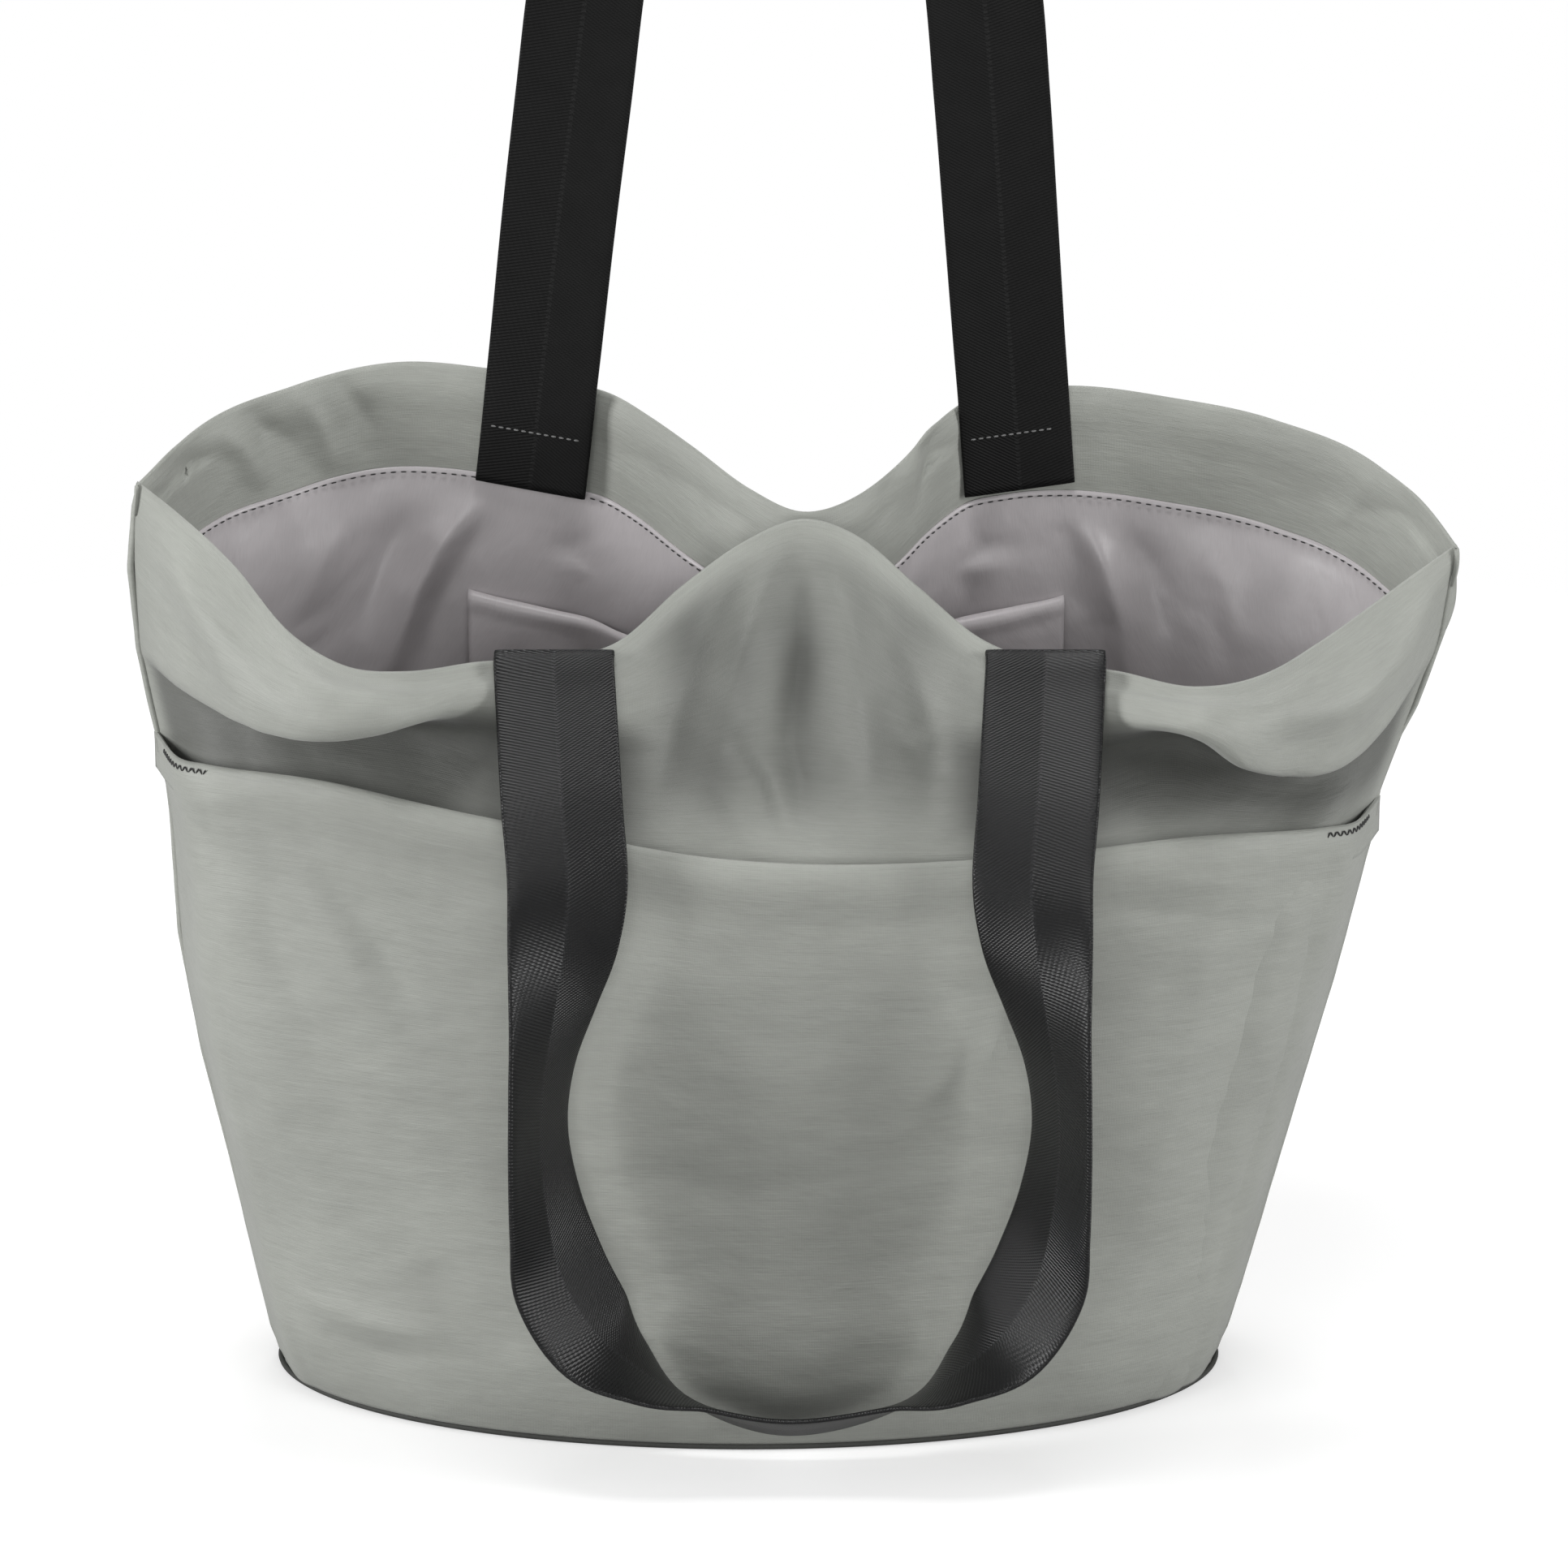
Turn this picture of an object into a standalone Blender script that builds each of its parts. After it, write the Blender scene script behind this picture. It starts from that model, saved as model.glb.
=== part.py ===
"""Foldable tote bag: thin nylon shell, slip pocket, lining, two webbing handles and a magnetic snap.

Metres, +Z up. The origin is the centre of the base, the front faces -Y and +X is to the right.
Every cloth layer is a wall grid point moved inwards by its own inset, so that the layers nest.
"""

import bmesh
import bpy
from math import asin, cos, pi, radians, sin
from mathutils import Vector

# Overall size
BASE_HALF_WIDTH = 0.156
BASE_HALF_DEPTH = 0.079
RIM_HALF_WIDTH = 0.214
BAG_HEIGHT = 0.326
BELLY = 0.010
SWAY = 0.015
WIDTH_POWER = 0.75

# Cloth and webbing
CLOTH_T = 0.0008
LINING_T = 0.0007
LAYER_GAP = 0.0014
FIT_GAP = 0.0003
WEBBING_WIDTH = 0.038
WEBBING_T = 0.0018

# Rim: heights as shares of the bag's height
LEFT_CORNER_SHARE = 0.936
RIGHT_CORNER_SHARE = 0.865
PINCH_SHARE = 0.899
FRONT_STRAP_SHARE = 0.792
FRONT_LEFT_SHARE = 0.810
FRONT_RIGHT_SHARE = 0.786
BACK_STRAP_SHARE = 0.983
BACK_LEFT_SHARE = 1.0
BACK_RIGHT_SHARE = 0.955
LOBE_DEPTH = 0.074
FRONT_STRAP_DEPTH = 0.052
BACK_STRAP_DEPTH = 0.070
BACK_LOBE_DEPTH = 0.080
PINCH_START = 0.50
PINCH_FULL = 0.90

# Facing and pockets
FACING_HEIGHT = 0.040
POCKET_SHARE = 0.620
POCKET_LEFT_RISE = 0.020
POCKET_RIGHT_RISE = -0.003
POCKET_GAPE = 0.008
INNER_POCKET_HALF_WIDTH = 0.100
INNER_POCKET_TOP_SHARE = 0.776
INNER_POCKET_BOTTOM_SHARE = 0.300
INNER_POCKET_GAPE = 0.017

# Handles
HANDLE_HALF_SPACING = 0.0775
BACK_HANDLE_CENTRE_SHIFT = -0.007
HANDLE_DROP = 0.736 * BAG_HEIGHT
HANDLE_RISE = 0.262
HANDLE_END_LENGTH = 0.038
STITCH_RISE = 0.019
THREAD_T = 0.0005

# Magnetic snap
SNAP_R = 0.009
SNAP_BELOW_RIM = 0.0175
SNAP_FLAT = SNAP_R + 0.005
MAGNET_R = 0.0078
STUD_R = 0.0020
WASHER_T = 0.0005

# Everything below follows from the sizes above
BASE_T = 0.0010
WALL_Z = BASE_T + FIT_GAP
LINING_OUT = CLOTH_T + LAYER_GAP
LINING_IN = LINING_OUT + LINING_T
SNAP_STACK = 0.0052
PINCH_DEPTH = SNAP_STACK / 2 + LINING_IN
PINCH_X = SWAY + 0.002
END_GAP = FIT_GAP / 2
WALL_MID = LINING_IN / 2
TAB_GAP = 0.0006
TAB_R = WALL_MID + TAB_GAP + WEBBING_T / 2
LOOP_R = TAB_R + WEBBING_T + 2 * FIT_GAP
TAB_TOP = 0.0010
LOOP_START = 0.0012
POCKET_SKIN = CLOTH_T + 0.0006
STRAP_CLEARANCE = 0.0030
FRONT, BACK = -1, 1
TAPE_INSET = CLOTH_T + FIT_GAP
TAPE_T = LAYER_GAP - 2 * FIT_GAP
TAPE_REACH = 0.55
BINDING_SHARE = 0.20

# Grid of the walls: stations round each side and level lines up it
STATION_COUNT = 20
HEM_LINE = 5
FACING_LINE = {FRONT: 7, BACK: 9}
POCKET_LOW_LINE, POCKET_HIGH_LINE = 2, 7
POCKET_TO_FACING = 0.565
RIBBON_STEP = 0.009
CORNER_TURN = [0, 30, 60, 90, 120, 150, 180]

COLOURS = {
    "shell": ((0.31, 0.32, 0.29, 1.0), 0.62, 0.0),
    "lining": ((0.27, 0.245, 0.26, 1.0), 0.45, 0.0),
    "front_webbing": ((0.035, 0.036, 0.040, 1.0), 0.42, 0.0),
    "back_webbing": ((0.008, 0.008, 0.009, 1.0), 0.60, 0.0),
    "thread": ((0.25, 0.26, 0.26, 1.0), 0.60, 0.0),
    "dark_thread": ((0.03, 0.03, 0.03, 1.0), 0.60, 0.0),
    "tape": ((0.20, 0.20, 0.19, 1.0), 0.70, 0.0),
    "snap_metal": ((0.60, 0.60, 0.58, 1.0), 0.28, 1.0),
    "magnet": ((0.12, 0.12, 0.13, 1.0), 0.40, 1.0),
}


def clear_scene():
    for item in list(bpy.data.objects):
        bpy.data.objects.remove(item, do_unlink=True)


def material(name):
    found = bpy.data.materials.get(name)
    if found:
        return found
    colour, rough, metal = COLOURS[name]
    made = bpy.data.materials.new(name)
    made.use_nodes = True
    shader = made.node_tree.nodes["Principled BSDF"]
    shader.inputs["Base Color"].default_value = colour
    shader.inputs["Roughness"].default_value = rough
    shader.inputs["Metallic"].default_value = metal
    made.diffuse_color = colour
    return made


def ease(knots, x):
    """Cosine steps between (place, value) knots, level at each knot."""
    if x <= knots[0][0]:
        return knots[0][1]
    for (x0, v0), (x1, v1) in zip(knots, knots[1:]):
        if x <= x1:
            share = (x - x0) / (x1 - x0)
            return v0 + (v1 - v0) * (1 - cos(pi * share)) / 2
    return knots[-1][1]


def smooth(x):
    x = min(max(x, 0.0), 1.0)
    return x * x * (3 - 2 * x)


# ---- the bag's surface ----


def strap_xs(side):
    """The places along X of a side's two handle ends."""
    centre = PINCH_X + (BACK_HANDLE_CENTRE_SHIFT if side == BACK else 0.0)
    return centre - HANDLE_HALF_SPACING, centre + HANDLE_HALF_SPACING


def half_width(t):
    return BASE_HALF_WIDTH + (RIM_HALF_WIDTH - BASE_HALF_WIDTH) * t**WIDTH_POWER


def half_depth(t):
    return BASE_HALF_DEPTH + BELLY * sin(pi * min(t, 1.0) * 0.8)


def place_x(theta, t):
    return SWAY * t + half_width(t) * sin(theta)


def end_factor(x):
    """How far a rim that closes at its two corners opens at x."""
    share = min(abs(x - SWAY) / RIM_HALF_WIDTH, 1.0)
    return max(1 - share * share, 0.0) ** 0.40


def rim_knots(side):
    """(x, depth) of the rim in plan, before end_factor."""
    left, right = strap_xs(side)
    half = WEBBING_WIDTH / 2 + 0.002
    strap = FRONT_STRAP_DEPTH if side == FRONT else BACK_STRAP_DEPTH
    lobe = LOBE_DEPTH if side == FRONT else BACK_LOBE_DEPTH
    left_lobe = SWAY - RIM_HALF_WIDTH * 0.68
    right_lobe = SWAY + RIM_HALF_WIDTH * 0.68
    spots = [(SWAY - RIM_HALF_WIDTH, lobe)]
    spots += [(left_lobe, lobe / end_factor(left_lobe))]
    spots += [(x, strap / end_factor(x)) for x in (left - half, left, left + half)]
    spots += [(x, PINCH_DEPTH / end_factor(x)) for x in (PINCH_X - SNAP_FLAT, PINCH_X + SNAP_FLAT)]
    spots += [(x, strap / end_factor(x)) for x in (right - half, right, right + half)]
    spots += [(right_lobe, lobe / end_factor(right_lobe))]
    spots += [(SWAY + RIM_HALF_WIDTH, lobe)]
    return spots


def rim_height(side, theta):
    """Height of the rim over the place where this station meets it."""
    x = SWAY + RIM_HALF_WIDTH * sin(theta)
    left, right = strap_xs(side)
    at_left = FRONT_LEFT_SHARE if side == FRONT else BACK_LEFT_SHARE
    at_right = FRONT_RIGHT_SHARE if side == FRONT else BACK_RIGHT_SHARE
    at_strap = FRONT_STRAP_SHARE if side == FRONT else BACK_STRAP_SHARE
    half = WEBBING_WIDTH / 2 + 0.003
    knots = [
        (SWAY - RIM_HALF_WIDTH, LEFT_CORNER_SHARE),
        (left - 1.5 * WEBBING_WIDTH, at_left),
        (left - half, at_strap),
        (left + half, at_strap),
        (PINCH_X, PINCH_SHARE),
        (right - half, at_strap),
        (right + half, at_strap),
        (right + 1.6 * WEBBING_WIDTH, at_right),
        (SWAY + RIM_HALF_WIDTH, RIGHT_CORNER_SHARE),
    ]
    return BAG_HEIGHT * ease(knots, x)


def depth(side, theta, t):
    """How far the outside of the shell is from the middle plane."""
    x = place_x(theta, t)
    body = half_depth(t) * max(cos(theta), 0.0) ** (1 - 0.15 * t)
    x_at_rim = SWAY + (x - SWAY * t) * RIM_HALF_WIDTH / half_width(t)
    rim = ease(rim_knots(side), x) * end_factor(x_at_rim)
    share = smooth((t - PINCH_START) / (PINCH_FULL - PINCH_START))
    return END_GAP + body + (rim - body) * share


def full_depth(theta, t):
    """Depth of a front wall that isn't drawn in at the pinch, and never less than the shell's."""
    body = END_GAP + half_depth(t) * max(cos(theta), 0.0) ** (1 - 0.15 * t)
    return max(body, depth(FRONT, theta, t))


def outside(side, theta, t, pinched=True):
    z = WALL_Z + t * (rim_height(side, theta) - WALL_Z)
    out = depth(side, theta, t) if pinched else full_depth(theta, t)
    return Vector((place_x(theta, t), side * out, z))


def inward(side, theta, t, pinched=True):
    """Level direction from the shell's outside towards the compartment."""
    if abs(theta) > pi / 2 - 1e-6:
        return Vector((-1 if theta > 0 else 1, 0, 0))
    step = 0.004
    along = outside(side, theta + step, t, pinched) - outside(side, theta - step, t, pinched)
    away = Vector((along.y, -along.x, 0)).normalized()
    return away if away.y * -side > 0 else -away


def stations(side):
    """Angles round a side from its left seam to its right one, with one at each place that matters."""
    left, right = strap_xs(side)
    half = WEBBING_WIDTH / 2 + 0.002
    marks = [left - half, left + half, right - half, right + half]
    marks += [PINCH_X - SNAP_FLAT, PINCH_X + SNAP_FLAT]
    if side == BACK:
        marks += [PINCH_X - INNER_POCKET_HALF_WIDTH, PINCH_X + INNER_POCKET_HALF_WIDTH]
    angles = [asin((x - SWAY) / RIM_HALF_WIDTH) for x in marks]
    for i in range(STATION_COUNT + 1):
        angle = -pi / 2 + pi * i / STATION_COUNT
        if all(abs(angle - a) > 0.045 for a in angles):
            angles.append(angle)
    return sorted(angles)




def hem_z(theta):
    rise = POCKET_LEFT_RISE if theta < 0 else POCKET_RIGHT_RISE
    return BAG_HEIGHT * POCKET_SHARE + rise * abs(sin(theta)) ** 1.5


def line_shares(side, theta):
    """Shares of the wall's height at which the wall grid has its level lines, from the base to the rim."""
    top = rim_height(side, theta) - WALL_Z
    facing = (top - FACING_HEIGHT) / top
    if side == FRONT:
        hem = (hem_z(theta) - WALL_Z) / top
        return (
            [hem * i / 5 for i in range(5)]
            + [hem + (facing - hem) * i / 2 for i in range(2)]
            + [facing + (1 - facing) * i / 3 for i in range(4)]
        )
    low = (BAG_HEIGHT * INNER_POCKET_BOTTOM_SHARE - WALL_Z) / top
    high = low + (facing - low) * (INNER_POCKET_TOP_SHARE - INNER_POCKET_BOTTOM_SHARE) / POCKET_TO_FACING
    return (
        [low * i / 2 for i in range(2)]
        + [low + (high - low) * i / 5 for i in range(5)]
        + [high + (facing - high) * i / 2 for i in range(2)]
        + [facing + (1 - facing) * i / 3 for i in range(4)]
    )




def wall_grid(side, pinched=True):
    """[(angle, [(point, inward direction) on each line]) for each station]."""
    grid = []
    for theta in stations(side):
        column = []
        for t in line_shares(side, theta):
            column.append((outside(side, theta, t, pinched), inward(side, theta, t, pinched)))
        grid.append((theta, column))
    return grid


def layer(grid, inset, first, last, lift=None):
    """Points of a wall grid between two lines, moved inwards. lift(angle, share) adds to the inset."""
    rows = []
    for theta, column in grid:
        row = []
        for k in range(first, last + 1):
            point, direction = column[k]
            share = (k - first) / max(last - first, 1)
            extra = lift(theta, share) if lift else 0.0
            row.append(point + direction * (inset + extra))
        rows.append(row)
    return rows


# ---- making solids ----


def add_object(name, verts, faces, slot, origin=None, shade=True):
    mesh = bpy.data.meshes.new(name)
    shift = Vector(origin) if origin else Vector((0, 0, 0))
    mesh.from_pydata([tuple(Vector(v) - shift) for v in verts], [], faces)
    mesh.materials.append(material(slot))
    bm = bmesh.new()
    bm.from_mesh(mesh)
    bmesh.ops.recalc_face_normals(bm, faces=bm.faces)
    if bm.calc_volume(signed=True) < 0:
        bmesh.ops.reverse_faces(bm, faces=bm.faces)
    bm.to_mesh(mesh)
    bm.free()
    for polygon in mesh.polygons:
        polygon.use_smooth = shade
    item = bpy.data.objects.new(name, mesh)
    item.location = shift
    bpy.context.scene.collection.objects.link(item)
    return item


def sheet_solid(name, outer, inner, slot, origin=None):
    """Closed solid between two grids of the same shape."""
    rows, cols = len(outer), len(outer[0])
    verts = [p for row in outer for p in row] + [p for row in inner for p in row]
    shift = rows * cols

    def at(i, j, side):
        return side * shift + i * cols + j

    faces = []
    for i in range(rows - 1):
        for j in range(cols - 1):
            faces.append((at(i, j, 0), at(i + 1, j, 0), at(i + 1, j + 1, 0), at(i, j + 1, 0)))
            faces.append((at(i, j, 1), at(i, j + 1, 1), at(i + 1, j + 1, 1), at(i + 1, j, 1)))
    for i in range(rows - 1):
        for j in (0, cols - 1):
            faces.append((at(i, j, 0), at(i, j, 1), at(i + 1, j, 1), at(i + 1, j, 0)))
    for j in range(cols - 1):
        for i in (0, rows - 1):
            faces.append((at(i, j, 0), at(i, j + 1, 0), at(i, j + 1, 1), at(i, j, 1)))
    return add_object(name, verts, faces, slot, origin)


def ring_solid(name, loops, slot):
    """Closed ring swept through loops of equal length, each a closed section."""
    count, size = len(loops), len(loops[0])
    verts = [p for loop in loops for p in loop]
    faces = []
    for i in range(count):
        for j in range(size):
            a, b = i * size + j, i * size + (j + 1) % size
            c, d = ((i + 1) % count) * size + (j + 1) % size, ((i + 1) % count) * size + j
            faces.append((a, b, c, d))
    return add_object(name, verts, faces, slot)


def disc_solid(name, outline, bottom, top, slot):
    """Flat plate on an outline, as a fan about its middle."""
    count = len(outline)
    verts = [(p.x, p.y, bottom) for p in outline] + [(p.x, p.y, top) for p in outline]
    verts += [(0.0, 0.0, bottom), (0.0, 0.0, top)]
    faces = []
    for i in range(count):
        j = (i + 1) % count
        faces.append((i, j, count + j, count + i))
        faces.append((j, i, 2 * count))
        faces.append((count + i, count + j, 2 * count + 1))
    return add_object(name, verts, faces, slot)


def turned(name, profile, centre, slot, segments=28):
    """Solid of revolution about an axis along Y. profile holds (radius, y) from axis to axis, or a closed section."""
    closed = profile[0][0] > 0
    verts, rings = [], []
    for radius, y in profile:
        if radius == 0:
            rings.append([len(verts)])
            verts.append((centre.x, y, centre.z))
            continue
        start = len(verts)
        rings.append(list(range(start, start + segments)))
        for k in range(segments):
            angle = 2 * pi * k / segments
            verts.append((centre.x + radius * cos(angle), y, centre.z + radius * sin(angle)))
    faces = []
    pairs = list(zip(rings, rings[1:]))
    if closed:
        pairs.append((rings[-1], rings[0]))
    for one, two in pairs:
        for k in range(segments):
            m = (k + 1) % segments
            if len(one) == 1:
                faces.append((one[0], two[m], two[k]))
            elif len(two) == 1:
                faces.append((one[k], one[m], two[0]))
            else:
                faces.append((one[k], one[m], two[m], two[k]))
    return add_object(name, verts, faces, slot)


def ribbon(name, centres, widths, slot, origin=None, width=WEBBING_WIDTH, thick=WEBBING_T):
    """Flat band along a row of centres, with a direction across its width at each."""
    sections = []
    for i, centre in enumerate(centres):
        ahead = centres[min(i + 1, len(centres) - 1)] - centres[max(i - 1, 0)]
        across = widths[i] - ahead * (widths[i].dot(ahead) / ahead.length_squared)
        across.normalize()
        out = ahead.cross(across).normalized()
        w, h = across * width / 2, out * thick / 2
        sections.append((centre - w - h, centre + w - h, centre + w + h, centre - w + h))
    verts = [p for section in sections for p in section]
    faces = [(0, 1, 2, 3)]
    for i in range(len(sections) - 1):
        for j in range(4):
            k = (j + 1) % 4
            faces.append((4 * i + j, 4 * i + k, 4 * i + 4 + k, 4 * i + 4 + j))
    last = 4 * (len(sections) - 1)
    faces.append((last + 3, last + 2, last + 1, last))
    return add_object(name, verts, faces, slot, origin)


def curve_through(points, per_span):
    """Centripetal Catmull-Rom curve through (x, y, z, turn) points, which doesn't loop where they lie close."""
    first = tuple(2 * a - b for a, b in zip(points[0], points[1]))
    last = tuple(2 * a - b for a, b in zip(points[-1], points[-2]))
    padded = [first, *points, last]
    found = []
    for i in range(1, len(padded) - 2):
        spots = padded[i - 1 : i + 3]
        times = [0.0]
        for a, b in zip(spots, spots[1:]):
            gap = sum((p - q) ** 2 for p, q in zip(a[:3], b[:3])) ** 0.25
            times.append(times[-1] + gap)
        for k in range(per_span):
            at = times[1] + (times[2] - times[1]) * k / per_span
            rows, spans = list(spots), 1
            while len(rows) > 1:
                mixed = []
                for j in range(len(rows) - 1):
                    low, high = (j, j + spans) if spans < 3 else (1, 2)
                    share = (at - times[low]) / (times[high] - times[low])
                    mixed.append(tuple(p + (q - p) * share for p, q in zip(rows[j], rows[j + 1])))
                rows, spans = mixed, spans + 1
            found.append(rows[0])
    found.append(tuple(points[-1]))
    return found


def evenly(path, step):
    """Points of a dense path about a step apart along it, with both its ends."""
    kept, run = [path[0]], 0.0
    for a, b in zip(path, path[1:]):
        run += sum((p - q) ** 2 for p, q in zip(a[:3], b[:3])) ** 0.5
        if run >= step:
            kept.append(b)
            run = 0.0
    if run < step / 2:
        kept.pop()
    kept.append(path[-1])
    return kept


# ---- pieces ----


def make_shell(grids):
    names = {FRONT: "shell_front_panel", BACK: "shell_back_panel"}
    for side, grid in grids.items():
        top = len(grid[0][1]) - 1
        outer = layer(grid, 0.0, 0, top)
        inner = layer(grid, CLOTH_T, 0, top)
        turned_in = layer(grid, LINING_IN, top, top)
        for i in range(len(grid)):
            inner[i][-1] = inner[i][-1] - Vector((0, 0, CLOTH_T))
            outer[i].append(turned_in[i][0])
            inner[i].append(turned_in[i][0] - Vector((0, 0, CLOTH_T)))
        sheet_solid(names[side], outer, inner, "shell")


def make_facings(grids):
    names = {FRONT: "facing_front", BACK: "facing_back"}
    for side, grid in grids.items():
        top = len(grid[0][1]) - 1
        low = FACING_LINE[side]
        outer = layer(grid, LINING_OUT, low, top)
        inner = layer(grid, LINING_IN, low, top)
        for i in range(len(grid)):
            for rows in (outer, inner):
                rows[i][-1] = rows[i][-1] - Vector((0, 0, CLOTH_T + FIT_GAP))
                rows[i][0] = rows[i][0] + Vector((0, 0, FIT_GAP))
        sheet_solid(names[side], outer, inner, "shell")


def make_linings(grids):
    names = {FRONT: "lining_front", BACK: "lining_back"}
    for side, grid in grids.items():
        outer = layer(grid, LINING_OUT, 0, FACING_LINE[side])
        inner = layer(grid, LINING_IN, 0, FACING_LINE[side])
        sheet_solid(names[side], outer, inner, "lining")


def outline(grids, inset):
    """The base line of both sides, once round, moved inwards."""
    front = [row[0] for row in layer(grids[FRONT], inset, 0, 0)]
    back = [row[0] for row in layer(grids[BACK], inset, 0, 0)]
    return front + back[::-1]


def make_bases(grids):
    disc_solid("base_panel", outline(grids, 0.0), 0.0, BASE_T, "shell")
    lining_edge = outline(grids, LINING_IN + FIT_GAP)
    disc_solid("lining_base", lining_edge, WALL_Z, WALL_Z + LINING_T, "lining")


def first_span(grid, inset, share):
    """Points a share of the way up the wall's lowest span, moved inwards."""
    rows = layer(grid, inset, 0, 1)
    return [row[0].lerp(row[1], share) for row in rows]




def make_binding(grids):
    corners = ((TAPE_INSET, 0.0), (TAPE_INSET + TAPE_T, 0.0))
    corners += ((TAPE_INSET + TAPE_T, BINDING_SHARE), (TAPE_INSET, BINDING_SHARE))
    edges = []
    for inset, share in corners:
        front = first_span(grids[FRONT], inset, share)
        back = first_span(grids[BACK], inset, share)
        edges.append(front + back[::-1])
    loops = [[edge[i] for edge in edges] for i in range(len(edges[0]))]
    ring_solid("base_seam_binding", loops, "tape")


def span_at(column, z):
    """(span number, share of it) at which a polyline of rising points reaches a height."""
    for k, (a, b) in enumerate(zip(column, column[1:])):
        if z <= b.z or k == len(column) - 2:
            return k, (z - a.z) / (b.z - a.z)
    return 0, 0.0


def beside_seam(seam, near, z, reach):
    """Point of the wall's end facet at a height on the seam and a share of the way to the next station."""
    k, share = span_at(seam, z)
    return seam[k].lerp(seam[k + 1], share).lerp(near[k].lerp(near[k + 1], share), reach)




def make_seam_tapes(grids):
    """A strip over each side seam, from above the base binding to under the facing."""
    for name, end, near in (("side_seam_tape_left", 0, 1), ("side_seam_tape_right", -1, -2)):
        bare = {side: layer(grids[side], 0.0, 0, FACING_LINE[side])[end] for side in grids}
        low = max(c[0].z + (c[1].z - c[0].z) * (BINDING_SHARE + 0.05) for c in bare.values())
        low += BINDING_SHARE * 0.01
        high = min(c[-1].z for c in bare.values()) - 0.004
        marks = {round(p.z, 5) for c in bare.values() for p in c[1:-1]}
        heights = [low] + sorted(z for z in marks if low + 0.003 < z < high - 0.003) + [high]
        heights = [z for i, z in enumerate(heights) if i == 0 or z - heights[i - 1] > 0.0005]
        skins = []
        for inset in (TAPE_INSET, TAPE_INSET + TAPE_T):
            rows = []
            for side in (FRONT, BACK):
                columns = layer(grids[side], inset, 0, FACING_LINE[side])
                seam, beside = columns[end], columns[near]
                first = [beside_seam(seam, beside, z, 0.0) for z in heights]
                second = [beside_seam(seam, beside, z, TAPE_REACH) for z in heights]
                rows += [second, first] if side == FRONT else [first, second]
            skins.append(rows)
        sheet_solid(name, skins[0], skins[1], "tape")


def at_height(column, z):
    """Point of a polyline of rising points at a height."""
    k, share = span_at(column, z)
    return column[k].lerp(column[k + 1], share)


def pocket_lift(theta, share):
    return -POCKET_GAPE * max(cos(theta), 0.0) * smooth(share) ** 0.8


def make_front_pocket(full_grid):
    outer = layer(full_grid, -POCKET_SKIN, 0, HEM_LINE, pocket_lift)
    inner = layer(full_grid, -POCKET_SKIN + CLOTH_T, 0, HEM_LINE, pocket_lift)
    sheet_solid("front_pocket_panel", outer, inner, "shell")


def make_bartacks(full_grid):
    """A short dense bar of thread across each end of the pocket mouth, proud of the pocket panel."""
    for name, end, near in (("pocket_bartack_left", 0, 1), ("pocket_bartack_right", -1, -2)):
        skins = []
        for inset in (-POCKET_SKIN - FIT_GAP - THREAD_T, -POCKET_SKIN - FIT_GAP):
            columns = layer(full_grid, inset, 0, HEM_LINE, pocket_lift)
            rows = []
            for reach in (0.12, 0.80):
                row = []
                for drop in (0.0035, 0.0015):
                    a = at_height(columns[end], columns[end][-1].z - drop)
                    b = at_height(columns[near], columns[near][-1].z - drop)
                    row.append(a.lerp(b, reach))
                rows.append(row)
            skins.append(rows)
        sheet_solid(name, skins[0], skins[1], "dark_thread")


def inner_pocket_grid(grid):
    """Stations of the back wall that the patch pocket spans."""
    low = asin((PINCH_X - INNER_POCKET_HALF_WIDTH - SWAY) / RIM_HALF_WIDTH) - 1e-6
    high = asin((PINCH_X + INNER_POCKET_HALF_WIDTH - SWAY) / RIM_HALF_WIDTH) + 1e-6
    return [entry for entry in grid if low <= entry[0] <= high]


def make_inner_pocket(grids):
    grid = inner_pocket_grid(grids[BACK])
    low, high = grid[0][0], grid[-1][0]

    def lift(theta, share):
        across = (theta - low) / (high - low)
        return INNER_POCKET_GAPE * sin(pi * across) ** 0.7 * smooth(share) if 0 < across < 1 else 0.0

    inset = LINING_IN + 0.0004
    outer = layer(grid, inset, POCKET_LOW_LINE, POCKET_HIGH_LINE, lift)
    inner = layer(grid, inset + LINING_T, POCKET_LOW_LINE, POCKET_HIGH_LINE, lift)
    sheet_solid("inner_pocket_panel", outer, inner, "lining")


def level_point(rows, x, z):
    """The place where a wall's facets pass x at a height."""
    spots = [at_height(row, z) for row in rows]
    for left, right in zip(spots, spots[1:]):
        if x <= right.x:
            return left.lerp(right, (x - left.x) / (right.x - left.x))
    return spots[-1]


def rim_top(rows, x):
    """Height of the rim's facets at x."""
    tops = [row[-1] for row in rows]
    for left, right in zip(tops, tops[1:]):
        if x <= right.x:
            return left.lerp(right, (x - left.x) / (right.x - left.x)).z
    return tops[-1].z


def skins_of(grid):
    """The shell's outside and the facing's inside, as grids of points from the base to the rim."""
    top = len(grid[0][1]) - 1
    return layer(grid, 0.0, 0, top), layer(grid, LINING_IN, 0, top)


def rim_centre(skins, x):
    """Middle of the wall's thickness at the top of the rim at x."""
    height = rim_top(skins[0], x)
    ys = [level_point(rows, x, height - 0.0001).y for rows in skins]
    return Vector((x, sum(ys) / 2, height))


def hinge(side, skins):
    """(middle of the line through the rim under both handle ends, its direction)."""
    a, b = (rim_centre(skins, x) for x in strap_xs(side))
    return (a + b) / 2, (b - a).normalized()


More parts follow.
